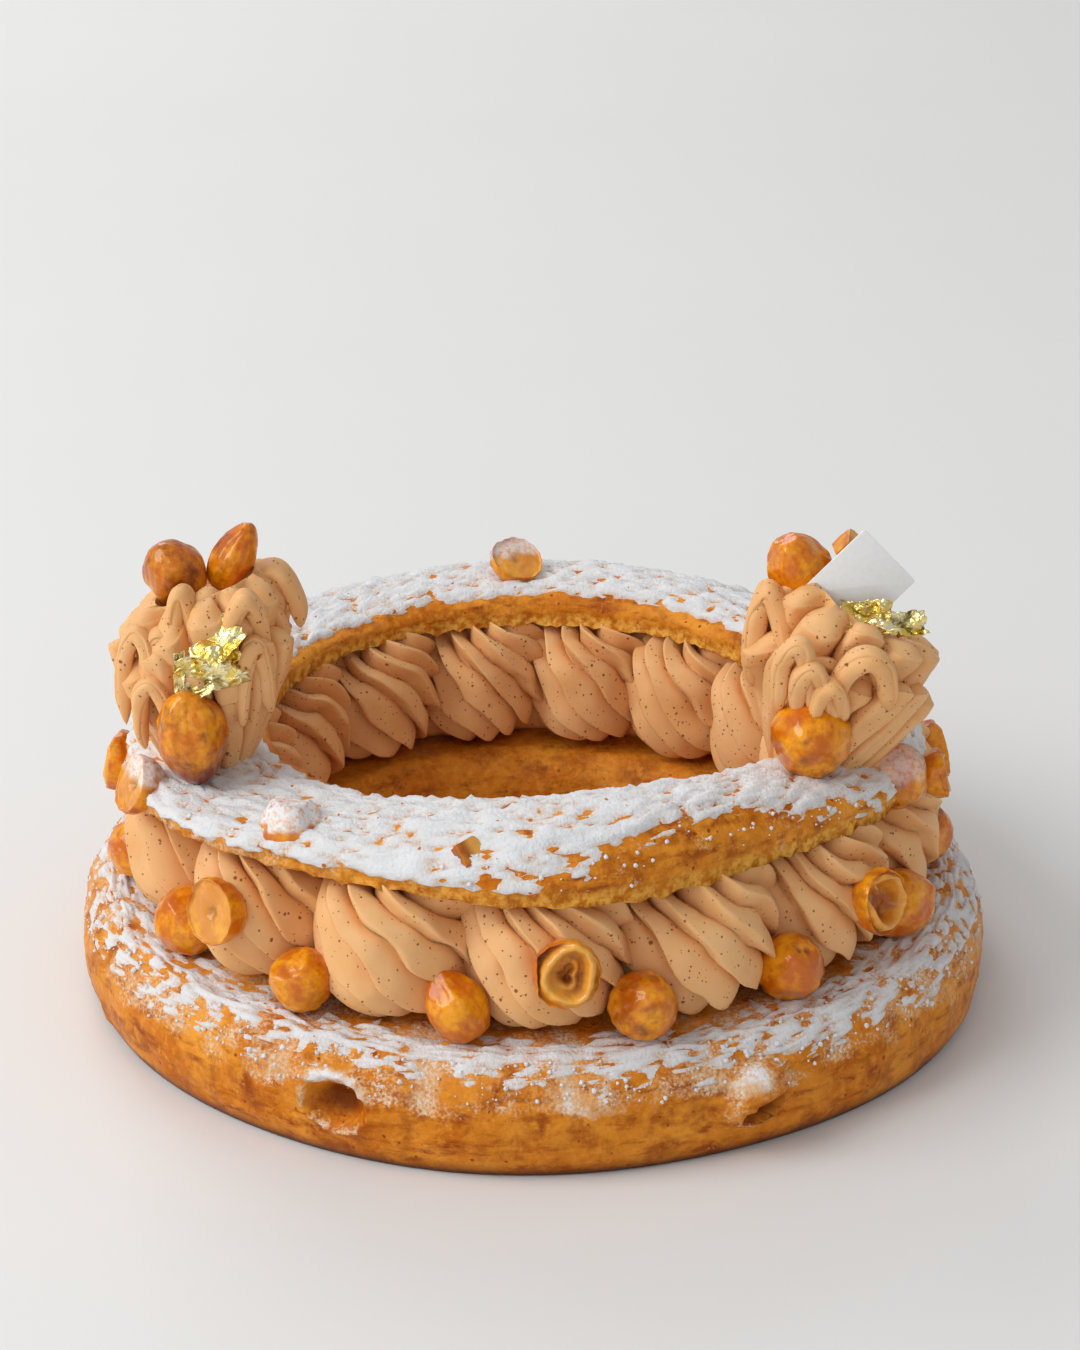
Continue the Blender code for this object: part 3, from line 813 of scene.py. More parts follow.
def fall_behind_rim(across):
    """0 on a strap's rim and 1 in the grooves. The rim lies nearer the lower groove."""
    below = round_off((RIM - across) / (RIM + 1.0), RIM_ROUNDNESS)
    above = (across - RIM) / (1.0 - RIM)
    face = 0.30 * np.clip(above, 0.0, 1.0) + 0.70 * round_off(above, RIM_ROUNDNESS)
    return np.where(across < RIM, below, face)


def soften(points, seed, strength=0.0010):
    """The small unevenness of cream that was piped by hand."""
    shift = Vector((seed, 0.0, 0.0))
    soft = np.array([noise.noise_vector(Vector(p) / 0.010 + shift) for p in points])
    fine = np.array([noise.noise_vector(Vector(p) / 0.0026) for p in points])
    return points + strength * soft + 0.00010 * fine


# %% A rope of piped cream
def make_rope(name, columns, rows, straps, twist, depth, path, thickness, seed, blunt=0.05):
    """path(share) gives the rope's middle line with the two ways across it, and thickness its half
    width and half height along them. The straps turn by twist degrees on their way, their grooves
    are depth deep as a share of the rope, and its ends close over the share blunt."""
    deselect_all()
    bpy.ops.mesh.primitive_uv_sphere_add(segments=columns, ring_count=rows, radius=1.0)
    rope = take_primitive(name)
    ball = points_of(rope)
    column = -np.arctan2(ball[:, 1], ball[:, 0])
    share = 1.0 - np.arccos(np.clip(ball[:, 2], -1.0, 1.0)) / math.pi
    middle, outwards, upwards = path(share)
    wide, high = thickness(share)
    to_end = np.clip(np.minimum(share, 1.0 - share) / blunt, 0.0, 1.0)
    closing = np.sin(0.5 * math.pi * to_end) ** 0.6

    def laid(turn, spread):
        out = wide * closing * spread * signed_power(np.cos(turn), 0.80)
        up = high * closing * spread * signed_power(np.sin(turn), 0.80)
        return middle + outwards * out[:, None] + upwards * up[:, None]

    turn = column - math.radians(twist) * share
    rough = laid(turn, 1.0)
    phase = straps * column + 2.0 * swells(rough, 0.016, 2, seed) + seed
    uneven = 1.0 + 0.35 * swells(rough, 0.020, 1, seed + 5.0)
    sideways = turn + (0.42 * np.sin(phase) - 0.34 * np.cos(phase)) / straps
    spread = 1.0 - depth * uneven * fall_behind_rim(across_strap(phase))
    move_points(rope, soften(laid(sideways, spread), seed))
    return rope


# %% [markdown]
# Fifteen swirls stand side by side on the base. Their places and sizes repeat the solid's formula,
# and each draws its own start and twist, so no two look alike. A rope starts between two swirls and
# ends on the side of the swirl that the camera doesn't see.

# %% The fifteen swirls of the filling
SWIRLS = 15
SWIRL_RING_RADIUS = 0.0805
SWIRL_REACH = 0.0226
SWIRL_HALF_WIDTH = 0.0206
COILS = 1.15
COIL_SHARE = 0.46
ROPE_HALF_HEIGHT = 0.0172
SWIRL_FOOT, SWIRL_TOP = BASE_HEIGHT + 0.0002, LID_UNDERSIDE + 0.0008
SWIRL_COLUMNS, SWIRL_ROWS, SWIRL_STRAPS = 153, 112, 9
TWIST_PER_COIL, TWIST_RANGE = 500, 70
GROOVE_DEPTH = 0.48


def swirl_angle(index):
    angle = 2.0 + index * 360.0 / SWIRLS
    return angle - 0.7 + 2.3 * float(wave(angle, 1)) + 1.3 * float(wave(angle, 2, 117))


def swirl_path(index, draw):
    angle = swirl_angle(index)
    centre = np.array(around(angle, SWIRL_RING_RADIUS))
    outwards = np.array(around(angle, 1.0))
    sideways = np.array((-outwards[1], outwards[0], 0.0))
    upwards = np.array((0.0, 0.0, 1.0))
    at_front = abs(angle_of(centre[None])[0]) < 90
    start = math.radians((90 if at_front else -90) + draw.uniform(-25, 25))
    low, high = SWIRL_FOOT + ROPE_HALF_HEIGHT - 0.0014, SWIRL_TOP - ROPE_HALF_HEIGHT + 0.0018

    def path(share):
        turn = start + 2 * math.pi * COILS * share
        level = low + (high - low) * np.clip((share - 0.18) / 0.64, 0.0, 1.0)
        out, side = np.cos(turn)[:, None] * outwards, np.sin(turn)[:, None] * sideways
        narrow = (COIL_SHARE * (1.07 - 0.12 * share))[:, None]
        middle = centre + narrow * (SWIRL_REACH * out + SWIRL_HALF_WIDTH * side) + level[:, None] * upwards
        return middle, out + side, np.tile(upwards, (len(share), 1))

    def thickness(share):
        turn = start + 2 * math.pi * COILS * share
        wide = SWIRL_REACH * np.cos(turn) ** 2 + SWIRL_HALF_WIDTH * np.sin(turn) ** 2
        return (1.0 - COIL_SHARE) * wide, np.full_like(share, ROPE_HALF_HEIGHT)

    return path, thickness


# %% The core that the swirls hide
CORE_RADIUS, CORE_HALF_WIDTH = SWIRL_RING_RADIUS - 0.0015, 0.0065
CORE_MIDDLE, CORE_HALF_HEIGHT = 0.0438, 0.0165


def core_section(angle, lean):
    radius = CORE_RADIUS + CORE_HALF_WIDTH * signed_power(np.cos(lean), 0.4)
    return radius, CORE_MIDDLE + CORE_HALF_HEIGHT * signed_power(np.sin(lean), 0.4)


# %% Make the filling
def make_filling():
    for index in range(SWIRLS):
        draw = random.Random(100 + index)
        path, thickness = swirl_path(index, draw)
        twist = COILS * (TWIST_PER_COIL + draw.uniform(-TWIST_RANGE, TWIST_RANGE))
        swirl = make_rope(f"swirl_{index:02d}", SWIRL_COLUMNS, SWIRL_ROWS, SWIRL_STRAPS, twist,
                          GROOVE_DEPTH, path, thickness, 100.0 + 3.7 * index)
        points = points_of(swirl)
        points[:, 2] = np.clip(points[:, 2], SWIRL_FOOT - 0.0004, SWIRL_TOP + 0.0010)
        move_points(swirl, points)
        finish_piece(swirl, CREAM, "praline_cream")
    core = make_ring("cream_core", 90, 16, core_section)[0]
    finish_piece(core, CREAM, "praline_cream", "cream_filling")


make_filling()

# %% [markdown]
# ## The rosettes
#
# Each rosette stands across the lid: petals of cream rise from a narrow foot, fan out, and end in
# arched tips, in two tiers one inside the other. A petal is a form that is rounded off on all
# sides but its foot, and its face is a little hollow. Loops of cream lean on the tiers where the
# nozzle turned back.

# %% A tier of petals
PETAL_TIP, TIP_LENGTH = 0.42, 0.20


def make_petals(name, columns, rows, petals, place, twist, depth, profile, seed, low_side, slant):
    """profile holds (share, radius, height) from the foot over the rim to the middle of the top.
    The rim is lower towards low_side, a turn in degrees, by the share slant. Every petal draws how
    much longer it is than the others and how far it leans out."""
    draw = random.Random(seed)
    deselect_all()
    bpy.ops.mesh.primitive_uv_sphere_add(segments=columns, ring_count=rows, radius=1.0)
    tier = take_primitive(name)
    ball = points_of(tier)
    column = np.arctan2(ball[:, 1], ball[:, 0])
    share = 1.0 - np.arccos(np.clip(ball[:, 2], -1.0, 1.0)) / math.pi
    radius = along([(station[0], station[1]) for station in profile], share)
    height = along([(station[0], station[2]) for station in profile], share)
    turn = column + math.radians(twist) * height
    wandering = 0.8 * swells(place(turn, radius, height), 0.016, 2, seed) * smooth_step(share, 0, 0.2)
    phase = petals * column + wandering
    across = across_strap(phase)
    which = np.floor(phase / (2 * math.pi) + 0.5).astype(int) % petals
    longer = np.array([draw.uniform(-0.13, 0.10) for petal in range(petals)])[which]
    leaning = np.array([draw.uniform(-0.05, 0.09) for petal in range(petals)])[which]
    past_tip = np.clip((share - PETAL_TIP) / TIP_LENGTH, 0.0, 1.3)
    from_middle = np.hypot(across, past_tip)
    fall = round_off(from_middle, 2.2)
    dish = 1.0 - smooth_step(from_middle, 0.0, 0.55)
    on_petal = (1.0 - fall) * smooth_step(share, 0.05, 0.40)
    spread = radius * (1.0 - depth * fall - 0.045 * dish + leaning * on_petal)
    lift = 1.0 - slant * (0.5 + 0.5 * np.cos(turn - math.radians(low_side)))
    fade = smooth_step(share, 0.0, 0.1) * (1.0 - smooth_step(share, 0.75, 0.95))
    sideways = turn + 0.40 * np.sin(phase) * fade / petals
    points = place(sideways, spread, height * lift + longer * on_petal * smooth_step(share, 0.2, 0.5))
    move_points(tier, soften(points, seed, 0.0008))
    return tier


INNER_TIER = ((0.0, 0.0, 0.0), (0.04, 0.44, 0.0), (0.22, 0.68, 0.42), (0.42, 0.93, 0.86),
              (0.52, 1.0, 0.97), (0.62, 1.00, 1.04), (0.72, 0.86, 0.96), (1.0, 0.0, 0.74))
OUTER_TIER = ((0.0, 0.0, 0.0), (0.04, 0.50, 0.0), (0.20, 0.78, 0.28), (0.42, 1.03, 0.60),
              (0.52, 1.10, 0.71), (0.62, 1.11, 0.78), (0.72, 0.96, 0.74), (1.0, 0.0, 0.62))


# %% Loops where the nozzle turned back
def make_loop(name, begin, top, end, radius, seed):
    """A short rope through three places, in millimetres, that faces the front."""
    first, second, third = (np.array(place) / 1000.0 for place in (begin, top, end))
    front = np.array((0.0, -1.0, 0.0))

    def path(share):
        s = share[:, None]
        rise = second - (first + third) / 2
        middle = first + (third - first) * (0.5 - 0.5 * np.cos(math.pi * s)) + rise * np.sin(math.pi * s)
        ahead = 0.5 * (third - first) * np.sin(math.pi * s) + rise * np.cos(math.pi * s)
        ahead = ahead / np.linalg.norm(ahead, axis=1)[:, None]
        across = np.cross(ahead, front)
        across = across / np.linalg.norm(across, axis=1)[:, None]
        return middle, across, np.cross(across, ahead)

    def thickness(share):
        swell = radius * (0.85 + 0.25 * np.sin(math.pi * share))
        return swell, 1.5 * swell

    loop = make_rope(name, columns=42, rows=48, straps=3, twist=90.0, depth=0.16, path=path,
                     thickness=thickness, seed=seed, blunt=0.12)
    return finish_piece(loop, CREAM, "praline_cream")


# %% The two rosettes
ROSETTE_FOOT = 0.0640


def rosette_place(centre, lean, reach, height):
    foot = np.array((*centre, ROSETTE_FOOT))
    up = np.array(Vector(lean).normalized())
    right = np.cross((0.0, 1.0, 0.0), up)
    right = right / np.linalg.norm(right)
    back = np.cross(up, right)

    def place(turn, spread, share):
        flat = np.cos(turn)[:, None] * right + np.sin(turn)[:, None] * back
        return foot + flat * (reach * spread)[:, None] + up * (height * share)[:, None]

    return place


# Each loop's beginning, top and end, and its radius, in millimetres
LEFT_LOOPS = (
    ((-67.5, -24, 95), (-60.8, -24, 110.5), (-54.5, -26, 97), 2.4),
    ((-63.0, -25, 94), (-60.5, -28, 102.5), (-58.0, -29, 95), 1.7),
    ((-94.0, -40, 78), (-90.5, -41, 101), (-84.0, -45, 80), 2.1),
    ((-89.5, -45, 74), (-87.0, -47, 91), (-81.5, -47, 75), 1.9),
    ((-66.5, -45, 80), (-63.0, -45, 100), (-60.5, -40, 80), 2.0),
    ((-70.5, -44, 84), (-66.0, -44, 110), (-61.0, -38, 90), 2.2),
    ((-82.5, -41, 92), (-79.6, -41, 110.5), (-77.0, -41, 92), 2.1),
    ((-77.0, -38, 92), (-74.3, -38, 109.0), (-71.5, -38, 92), 2.1),
    ((-88.0, -41, 86), (-85.5, -42, 101.0), (-82.5, -42, 88), 2.2),
)
RIGHT_LOOPS = (
    ((51.5, -36, 86), (54.0, -35, 108.5), (59.0, -40, 90), 2.6),
    ((56.0, -50, 85), (59.0, -56, 104.5), (63.5, -53, 86), 2.2),
    ((60.0, -51, 84), (63.0, -58, 99.5), (67.0, -53, 85), 2.0),
    ((64.0, -52, 82), (67.0, -59, 95.5), (71.0, -54, 85), 2.0),
    ((68.0, -53, 84), (74.5, -58, 102.0), (81.0, -54, 88), 2.6),
)

ROSETTES = (
    dict(side="left", centre=(-0.0765, -0.0310), lean=(0.02, 0.04, 1.0), reach=0.0200, height=0.0470,
         twist=-20, low_side=180, slant=0.16, seed=7, loops=LEFT_LOOPS),
    dict(side="right", centre=(0.0670, -0.0350), lean=(0.22, 0.05, 1.0), reach=0.0218, height=0.0450,
         twist=42, low_side=0, slant=0.20, seed=12, loops=RIGHT_LOOPS),
)


def make_rosette(side, centre, lean, reach, height, twist, low_side, slant, seed, loops):
    place = rosette_place(centre, lean, reach, height)
    inner = make_petals(f"rosette_{side}_inner", 286, 104, 11, place, twist, 0.42, INNER_TIER, seed,
                        low_side, slant)
    finish_piece(inner, CREAM, "praline_cream", f"rosette_{side}")
    outer = make_petals(f"rosette_{side}_outer", 320, 100, 14, place, 1.3 * twist, 0.36, OUTER_TIER,
                        seed + 20, low_side, slant)
    finish_piece(outer, CREAM, "praline_cream")
    for number, (begin, top, end, radius) in enumerate(loops):
        make_loop(f"loop_{side}_{number}", begin, top, end, radius / 1000.0, 60.0 + 5.3 * number)


for rosette in ROSETTES:
    make_rosette(**rosette)

# %% [markdown]
# ## Caramelised hazelnuts
#
# Caramel sets as a glossy amber coat over a pale nut, thin and yellow on top, thick and reddish
# where it ran together. A clear coat over a mottled base gives both the gloss and the depth. The
# nuts are faceted and ridged rather than round, so the ball is cut by a few soft planes.

# %% The nut finish
NUT_YELLOW = (0.90, 0.35, 0.005)
NUT_AMBER = (0.62, 0.140, 0.001)
NUT_DARK = (0.20, 0.028, 0.003)
NUT_CUT = (0.88, 0.45, 0.08)


def make_nut_finish():
    finish = Finish("caramel_nut", 0.34, subsurface_weight=0.10, coat_roughness=0.08,
                    specular_ior_level=0.15, subsurface_radius=(0.0030, 0.0010, 0.0003))
    skin = finish.mix(finish.mottle(150.0, 0.42, 0.60), NUT_AMBER, NUT_YELLOW)
    streaked = finish.mix(finish.mottle(520.0, 0.50, 0.75, 6.0), skin, NUT_AMBER)
    # The roast_and_shade number holds the roast and painted shade in the hollows of a cut face
    roast_and_shade = finish.math("ADD", finish.painted("roast_and_shade"), finish.mottle(190.0, 0.50, 0.80))
    burnt_and_shaded = finish.mix(finish.spread(roast_and_shade, 0.25, 1.10), streaked, NUT_DARK)
    cut = finish.mix(finish.painted("cut"), burnt_and_shaded, NUT_CUT)
    dusting = finish.math("MULTIPLY", finish.painted("sugar"), finish.mottle(900.0, 0.25, 0.55, 5.0))
    finish.set("Base Color", finish.mix(dusting, cut, POWDER_WHITE))
    finish.set("Coat Weight", finish.spread(dusting, 0.0, 0.6, 0.65, 0.0))
    finish.set("Roughness", finish.spread(dusting, 0.0, 0.6, 0.34, 0.9))
    finish.relief(420.0, 0.00035, 4.0)
    return finish.done()


NUT = make_nut_finish()


# %% Shape a hazelnut
def soft_planes(ball, seed, count=7, deep=0.16):
    """The ball's size in each direction after planes at random places have trimmed it."""
    draw = random.Random(seed)
    size = np.ones(len(ball))
    for plane in range(count):
        way = np.array(Vector((draw.gauss(0, 1), draw.gauss(0, 1), draw.gauss(0, 1))).normalized())
        distance = 1.0 - draw.uniform(0.3 * deep, deep)
        size = np.minimum(size, distance / np.maximum(ball @ way, 0.2))
    return size


def halved_face(across, way_round, look):
    """Height of a cut nut's face at each place, how pale it is, and painted shade in its hollows. The
    face is flat with a dimple, open like a cup with a gap in its wall, or rolled up like a snail."""
    if look == "flat":
        height = 0.10 - 0.16 * np.exp(-(across / 0.20) ** 2)
        return height, np.full_like(across, 0.45), 0.9 * np.exp(-(across / 0.22) ** 2)
    if look == "open":
        gap = np.exp(-(np.mod(way_round - 2.4 + math.pi, 2 * math.pi) - math.pi) ** 2 / 0.30)
        ring = np.exp(-((across - 0.74) / 0.20) ** 2)
        return -0.28 + 0.60 * ring * (1.0 - 0.8 * gap), 0.60 * ring, 0.55 * (1.0 - ring)
    across = across + 0.07 * np.cos(2 * way_round + 0.6) + 0.05 * np.cos(3 * way_round)
    spiral = 0.73 + 0.10 * np.cos(way_round)
    rim = np.exp(-((across - spiral) / 0.20) ** 2)
    inner = np.exp(-((across - 0.32) / 0.12) ** 2) * (0.6 + 0.4 * np.cos(way_round + 1.0))
    height = -0.10 + 0.42 * rim + 0.28 * inner - 0.10 * np.exp(-(across / 0.15) ** 2)
    return height, 0.85 * rim + 0.40 * inner, np.clip(0.85 - rim - 0.5 * inner, 0, 1)


def trimmed_ball(ball, seed, across, way_round):
    """The lumpy, ridged form that every nut starts from, and the lumps alone."""
    lumps = 0.050 * swells(ball + seed % 97, 1.0, 2) + 0.022 * swells(ball + seed % 89, 0.33, 3, 5.0)
    ridges = 0.014 * np.cos(15 * way_round + 7 * lumps) * across
    return ball * (soft_planes(ball, seed) * (1.02 + lumps + ridges))[:, None], lumps


def whole_nut(shape, ball):
    """A blunt tip on top and a flat scar below."""
    shape[:, 2] *= 1.0 + 0.16 * np.clip(ball[:, 2], 0, 1) ** 5
    shape[:, 2] = np.maximum(shape[:, 2], -0.90)


def chopped_nut(shape, ball, lumps):
    """A corner of a nut between rough cuts. Its upper side is the pale one."""
    shape[:, 0] = np.clip(shape[:, 0], -0.70 + 0.2 * lumps, 0.62 + 0.1 * ball[:, 1])
    shape[:, 1] = np.clip(shape[:, 1], -0.72, 0.66 + 0.1 * ball[:, 0])
    shape[:, 2] = np.clip(shape[:, 2], -0.50, 0.45 + 0.25 * ball[:, 0])
    return 0.7 * smooth_step(shape[:, 2], 0.35, 0.5)


# %% Make a hazelnut
def make_nut(node, facing, kind="whole", roast_and_shade=0.0, stretch=(1.0, 1.0, 1.0), look="rolled", sugar=0.0,
             drip=0.0, moved=(0.0, 0.0, 0.0), spots=()):
    """A nut at its CAD node's place and size, with its tip or its cut face turned to facing. The
    caramel is darker by roast_and_shade, hangs below by drip, and has burnt dents at the spots. A cut
    face also gets painted shade in its hollows."""
    low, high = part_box(node)
    centre = (low + high) / 2 + Vector(moved)
    size = max(high - low) / 2
    seed = sum(ord(letter) * (place + 3) for place, letter in enumerate(node))
    deselect_all()
    if kind == "whole":
        bpy.ops.mesh.primitive_ico_sphere_add(subdivisions=5, radius=1.0)
    else:
        bpy.ops.mesh.primitive_uv_sphere_add(segments=72, ring_count=48, radius=1.0)
    nut = take_primitive(node.replace("_nut", "_hazelnut"))
    ball = points_of(nut)
    across = np.hypot(ball[:, 0], ball[:, 1])
    way_round = np.arctan2(ball[:, 1], ball[:, 0])
    shape, lumps = trimmed_ball(ball, seed, across, way_round)
    cut, dark = np.zeros(len(ball)), np.zeros(len(ball))
    if kind == "whole":
        whole_nut(shape, ball)
    elif kind == "halved":
        face, pale, shade = halved_face(across, way_round, look)
        opened = smooth_step(ball[:, 2], 0.05, 0.20) * (1.0 - smooth_step(across, 0.93, 0.995))
        shape[:, 2] = shape[:, 2] * (1.0 - opened) + opened * (face + 1.4 * lumps)
        # Painted shade in the hollows of the cut face
        cut, dark = opened * pale, opened * shade
    else:
        cut = chopped_nut(shape, ball, lumps)
    for spot in spots:
        near = np.exp(-((ball - np.array(Vector(spot).normalized())) ** 2).sum(axis=1) / 0.018)
        shape, dark = shape * (1.0 - 0.10 * near)[:, None], np.maximum(dark, near)
    pose = turned_to(facing) @ Matrix.Diagonal((*(size * s for s in stretch), 1.0))
    move_points(nut, shape)
    nut.data.transform(pose)
    points = points_of(nut)
    down, up = np.clip(-points[:, 2] / size, 0, 1.3), np.clip(points[:, 2] / size, -1, 1)
    points[:, 2] -= drip * size * 0.22 * down ** 3
    move_points(nut, points + np.array(centre))
    uneven = 0.28 * swells(ball + seed % 83, 0.8, 2, 9.0)
    paint(nut, "cut", cut)
    # The roast_and_shade number holds the roast, thick caramel below, and painted shade in a cut face
    paint(nut, "roast_and_shade", roast_and_shade + dark + uneven + 1.1 * drip * down ** 2.5)
    paint(nut, "sugar", sugar * smooth_step(up + 0.3 * swells(ball, 0.6, 2, 3.0), 0.05, 0.35))
    return finish_piece(nut, NUT, "caramel_nut", node)


# %% Nuts between the swirls
def outwards_of(node, lift=0.2):
    low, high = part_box(node)
    middle = (low + high) / 2
    return Vector((middle.x, middle.y, 0.0)).normalized() + Vector((0.0, 0.0, lift))


# What can be seen of the nuts in the photograph; the others draw their looks
FOOT_NUTS = {
    0: dict(roast_and_shade=0.10, facing=(0.4, -0.7, 0.6)),
    1: dict(roast_and_shade=-0.10, facing=(0.2, -0.7, 0.7), spots=((0.05, 0.2, 0.9), (0.35, 0.2, 0.9))),
    13: dict(roast_and_shade=-0.05, facing=(-0.6, -0.6, 0.5)),
    14: dict(roast_and_shade=-0.35, facing=(-0.5, 0.2, 0.8), stretch=(0.90, 0.90, 1.12)),
}

for number in range(SWIRLS):
    draw = random.Random(300 + number)
    tilt = Vector((draw.uniform(-1, 1), draw.uniform(-1, 1), draw.uniform(-0.2, 0.6)))
    known = dict(facing=tilt, roast_and_shade=draw.uniform(-0.25, 0.15))
    known.update(FOOT_NUTS.get(number, {}))
    make_nut(f"foot_nut_{number:02d}", **known)

# %% Halved nuts on the swirls
FACE_NUT_RADIUS = 0.1048
FACE_LOOKS = {0: "rolled", 1: "open", 2: "flat", 3: "rolled", 4: "flat", 5: "rolled", 6: "flat"}
for number, look in FACE_LOOKS.items():
    low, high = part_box(f"face_nut_{number}")
    out = outwards_of(f"face_nut_{number}", 0.0)
    proud = FACE_NUT_RADIUS - ((low + high) / 2).xy.length
    make_nut(f"face_nut_{number}", out + Vector((0, 0, 0.2)), "halved", look=look, moved=proud * out)

# %% Nuts on the lid and in the rosettes
make_nut("lid_nut_left", (-0.8, -0.4, 0.4), "halved", look="flat", sugar=0.9)
make_nut("lid_nut_front", (0.2, -0.7, 0.5), sugar=1.0, stretch=(1.15, 1.15, 1.0),
         moved=(0.0, -0.001, 0.0016))
make_nut("lid_nut_chip", (0.45, -0.5, 0.7), "chopped", roast_and_shade=0.8, stretch=(1.0, 1.1, 0.9),
         moved=(0.0, 0.0, 0.0008))
make_nut("lid_nut_right", (0.3, -0.3, 0.8), roast_and_shade=0.35, sugar=0.5)
make_nut("lid_nut_edge", (1.0, 0.0, 0.2), "halved", look="open")
make_nut("lid_nut_back", (0.3, -0.5, 0.8), "halved", look="flat", sugar=0.8, stretch=(1.15, 1.15, 0.9))
make_nut("left_nut_0", (-0.4, -0.2, 0.9), roast_and_shade=0.45, drip=0.5)
make_nut("left_nut_1", (0.55, 0.0, 1.0), roast_and_shade=0.15, stretch=(0.85, 0.85, 1.45), moved=(0.0, 0.0, 0.0012))
make_nut("left_nut_2", (-0.1, -0.3, 1.0), roast_and_shade=0.20, drip=1.0, stretch=(0.92, 0.92, 1.12))
make_nut("right_nut_0", (-0.5, -0.3, 0.8), roast_and_shade=-0.30, stretch=(0.92, 0.92, 1.10))
make_nut("right_nut_1", (0.7, 0.0, 0.7), "chopped", roast_and_shade=0.25, stretch=(1.1, 0.9, 1.3))
make_nut("right_nut_2", (-0.2, -1.0, 0.3), roast_and_shade=0.10, drip=0.5)

# %% [markdown]
# ## Gold leaf and the card
#
# Gold leaf is thinner than paper and crumples as it is laid, so each scrap is a fine grid that is
# folded by ridged noise and ragged at its border. Its folds are painted dark olive as painted shade,
# and patches of bright and deep gold are painted reflection. The card is stiff, bare board with
# rounded corners.

# %% Gold
GOLD_BRIGHT = (1.0, 0.93, 0.58)
GOLD_DEEP = (0.90, 0.64, 0.12)
# Painted shade in the folds of the leaf
GOLD_OLIVE = (0.26, 0.17, 0.025)
LEAF_THICKNESS = 0.00012


def make_gold_finish():
    finish = Finish("gold_leaf", 0.26, metallic=1.0)
    # Painted reflection and shade: patches of bright and deep gold for light that the folds catch and lose
    gold = finish.mix(finish.mottle(210.0, 0.42, 0.58), GOLD_DEEP, GOLD_BRIGHT)
    # Painted shade: dark olive in the folds
    shade_in_folds = finish.math("MULTIPLY", finish.painted("fold_shade"), finish.mottle(420.0, 0.35, 0.6))
    finish.set("Base Color", finish.mix(shade_in_folds, gold, GOLD_OLIVE))
    finish.relief(700.0, 0.00040, 4.0)
    return finish.done()


GOLD = make_gold_finish()


# %% Crumpled scraps
def make_leaf(name, node, facing, width, length, crumple, seed, moved=(0.0, 0.0, 0.0), spin=0.0,
              replaces=True, shade_all_over=0.0):
    """A crumpled scrap at its CAD node's place, with painted shade in its folds, and painted shade all over
    by shade_all_over.
    """
    low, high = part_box(node)
    deselect_all()
    bpy.ops.mesh.primitive_grid_add(x_subdivisions=48, y_subdivisions=52, size=1.0)
    leaf = take_primitive(name)
    flat = points_of(leaf)
    border = 1.0 + 0.28 * swells(flat * 0.5, 0.16, 3, seed)
    broad = np.abs(swells(flat, 0.60, 1, seed + 3))
    small = np.abs(swells(flat, 0.20, 2, seed + 7))
    shape = np.column_stack((flat[:, 0] * width * border, flat[:, 1] * length * border,
                             crumple * (2.4 * broad + 0.55 * small - 0.7)))
    move_points(leaf, shape)
    pose = turned_to(facing) @ Matrix.Rotation(math.radians(spin), 4, "Z")
    leaf.data.transform(Matrix.Translation((low + high) / 2 + Vector(moved)) @ pose)
    # Painted shade: dark in the folds, and all over by shade_all_over
    paint(leaf, "fold_shade", np.clip(shade_all_over + 1.0 - 3.5 * broad - 1.2 * small, 0.0, 1.0))
    apply_modifier(leaf, "Thickness", "SOLIDIFY", thickness=LEAF_THICKNESS)
    return finish_piece(leaf, GOLD, "gold_leaf", *([node] if replaces else []))


make_leaf("leaf_left_upper", "gold_leaf_left", (-0.25, -0.8, 0.75), 0.0085, 0.0110, 0.0010, 2.0,
          (0.0012, -0.0005, 0.0034), -28.0)
make_leaf("leaf_left_lower", "gold_leaf_left", (0.25, -1.0, 0.25), 0.0150, 0.0095, 0.0020, 3.0,
          (-0.0002, 0.0, -0.0036), 14.0, False, 0.25)
make_leaf("leaf_strip", "gold_leaf_strip", (-0.30, -1.0, 0.10), 0.0026, 0.0100, 0.0007, 4.0, shade_all_over=0.4)
make_leaf("leaf_right_crumpled", "gold_leaf_right", (0.0, -0.8, 0.6), 0.0115, 0.0085, 0.0024, 6.0)
# This scrap lies in shade, so it is painted dark all over
make_leaf("leaf_right_folded", "gold_leaf_folded", (0.3, -0.7, 0.6), 0.0090, 0.0060, 0.0012, 9.0, shade_all_over=0.9)


# %% The card
CARD_WIDTH, CARD_HEIGHT, CARD_THICKNESS = 0.0210, 0.0170, 0.0008
CARD_CORNER, CARD_EDGE = 0.0007, 0.00012
CARD_CENTRE = (0.0746, -0.0370, 0.1112)
CARD_TILT = 8
CARD_WHITE, CARD_FIBRE = (0.85, 0.85, 0.84), (0.80, 0.80, 0.79)


def make_card_finish():
    finish = Finish("white_card", 0.5)
    fibre = finish.mottle(900.0, 0.3, 0.7)
    finish.set("Base Color", finish.mix(fibre, CARD_FIBRE, CARD_WHITE))
    finish.relief(1500.0, 0.00003)
    return finish.done()


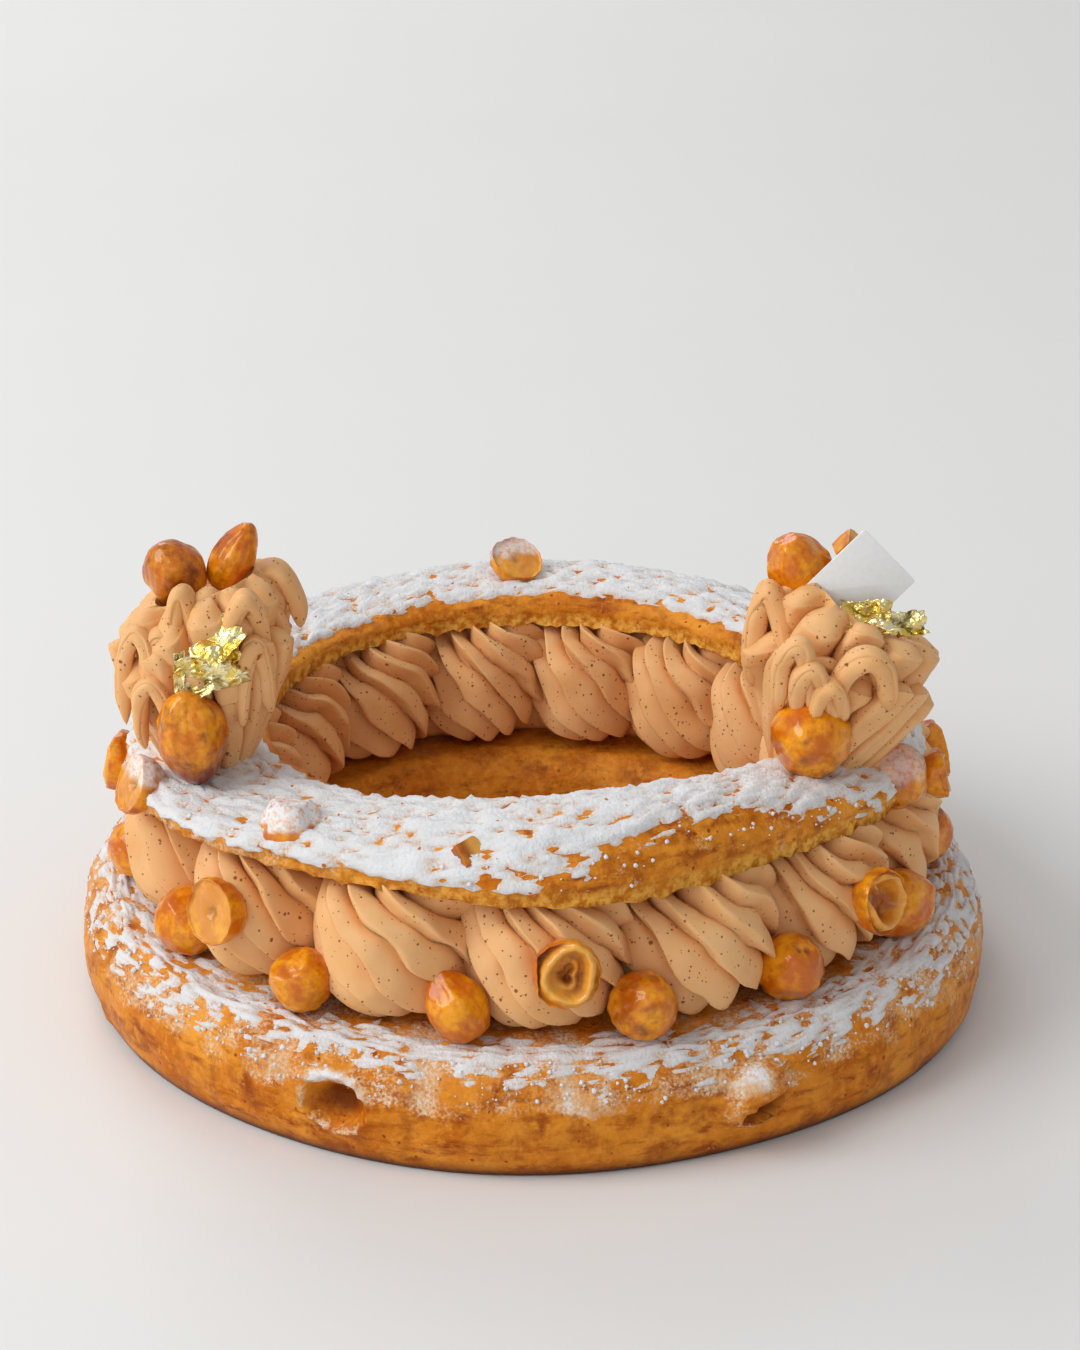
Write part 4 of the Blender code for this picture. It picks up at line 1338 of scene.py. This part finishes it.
def make_card():
    """Board with soft corners: a plane whose corners are rounded before it gets its thickness."""
    deselect_all()
    bpy.ops.mesh.primitive_plane_add(size=1.0)
    card = take_primitive("card_board")
    card.data.transform(Matrix.Diagonal((CARD_WIDTH, CARD_HEIGHT, 1.0, 1.0)))
    apply_modifier(card, "Corners", "BEVEL", affect="VERTICES", width=CARD_CORNER, segments=4)
    apply_modifier(card, "Board", "SOLIDIFY", thickness=CARD_THICKNESS, offset=0.0)
    apply_modifier(card, "Edges", "BEVEL", width=CARD_EDGE, segments=2, limit_method="ANGLE")
    upright = Matrix.Rotation(math.radians(90), 4, "X")
    tilt_back = Matrix.Rotation(math.radians(-CARD_TILT), 4, "X")
    on_its_corner = Matrix.Rotation(math.radians(-45), 4, "Y")
    card.data.transform(Matrix.Translation(CARD_CENTRE) @ tilt_back @ on_its_corner @ upright)
    finish_piece(card, make_card_finish(), "white_card", "label_card")
    bpy.ops.object.shade_smooth_by_angle(angle=math.radians(40))


make_card()

# %% [markdown]
# ## Studio
#
# The photograph was taken from 22 degrees above the table with a long lens, in soft daylight from
# the left, on a pale sweep. The light is a bright sky with one broad lamp, a weak one in front that
# stands for a reflector, and one for the far end of the sweep.

# %% Floor
FLOOR_SIZE = 9.0
FLOOR_PALE, FLOOR_PALER = (0.80, 0.795, 0.785), (0.82, 0.815, 0.805)


def make_floor():
    deselect_all()
    bpy.ops.mesh.primitive_plane_add(size=FLOOR_SIZE)
    floor = take_primitive("floor")
    finish = Finish("pale_floor", 0.65)
    finish.set("Base Color", finish.mix(finish.mottle(2.0, 0.3, 0.7), FLOOR_PALE, FLOOR_PALER))
    floor.data.materials.append(finish.done())
    floor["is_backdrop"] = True


make_floor()

# %% Light
SKY_COLOUR, SKY_STRENGTH = (0.98, 0.99, 1.0, 1.0), 0.455
LAMP_SIZE = 1.5
LAMPS = (
    dict(name="window", watts=35.0, place=(-1.70, -0.60, 1.60), aim=(0.0, 0.0, 0.04)),
    dict(name="reflector", watts=6.0, place=(-0.60, -2.20, 0.95), aim=(0.0, 0.0, 0.04)),
    dict(name="sweep_lamp", watts=22.0, place=(-0.90, 2.40, 1.80), aim=(-0.10, 1.60, 0.0)),
)


def make_sky():
    world = bpy.data.worlds.new("studio")
    bpy.context.scene.world = world
    world.use_nodes = True
    world.node_tree.nodes["Background"].inputs["Color"].default_value = SKY_COLOUR
    world.node_tree.nodes["Background"].inputs["Strength"].default_value = SKY_STRENGTH


def make_lamp(name, watts, place, aim):
    lamp = bpy.data.lights.new(name, "AREA")
    lamp.size, lamp.energy = LAMP_SIZE, watts
    panel = bpy.data.objects.new(name, lamp)
    bpy.context.scene.collection.objects.link(panel)
    panel.location = place
    panel.rotation_euler = (Vector(aim) - panel.location).to_track_quat("-Z", "Y").to_euler()
    print(f"lamp {name}: {watts} watts")


make_sky()
for lamp in LAMPS:
    make_lamp(**lamp)
bpy.context.scene.view_settings.view_transform = "Standard"

# %% Camera
PICTURE_HEIGHT = 1350
FOCAL_PIXELS = 2760
VIEW_DOWN = math.radians(22.2)
VIEW_DISTANCE = 0.68
LOOK_AT = Vector((0.0021, 0.0, 0.0743))


def make_camera():
    lens = bpy.data.cameras.new("camera")
    lens.sensor_width = 36.0
    lens.lens = FOCAL_PIXELS * lens.sensor_width / PICTURE_HEIGHT
    camera = bpy.data.objects.new("camera", lens)
    bpy.context.scene.collection.objects.link(camera)
    bpy.context.scene.camera = camera
    ahead = Vector((0.0, math.cos(VIEW_DOWN), -math.sin(VIEW_DOWN)))
    camera.location = LOOK_AT - ahead * VIEW_DISTANCE
    camera.rotation_euler = ahead.to_track_quat("-Z", "Y").to_euler()
    print("camera lens in millimetres:", round(lens.lens, 1))


make_camera()

# %% Size of the dressed cake
low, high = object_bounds()
print("dressed in millimetres:", [round(1000 * (b - a), 1) for a, b in zip(low, high)])
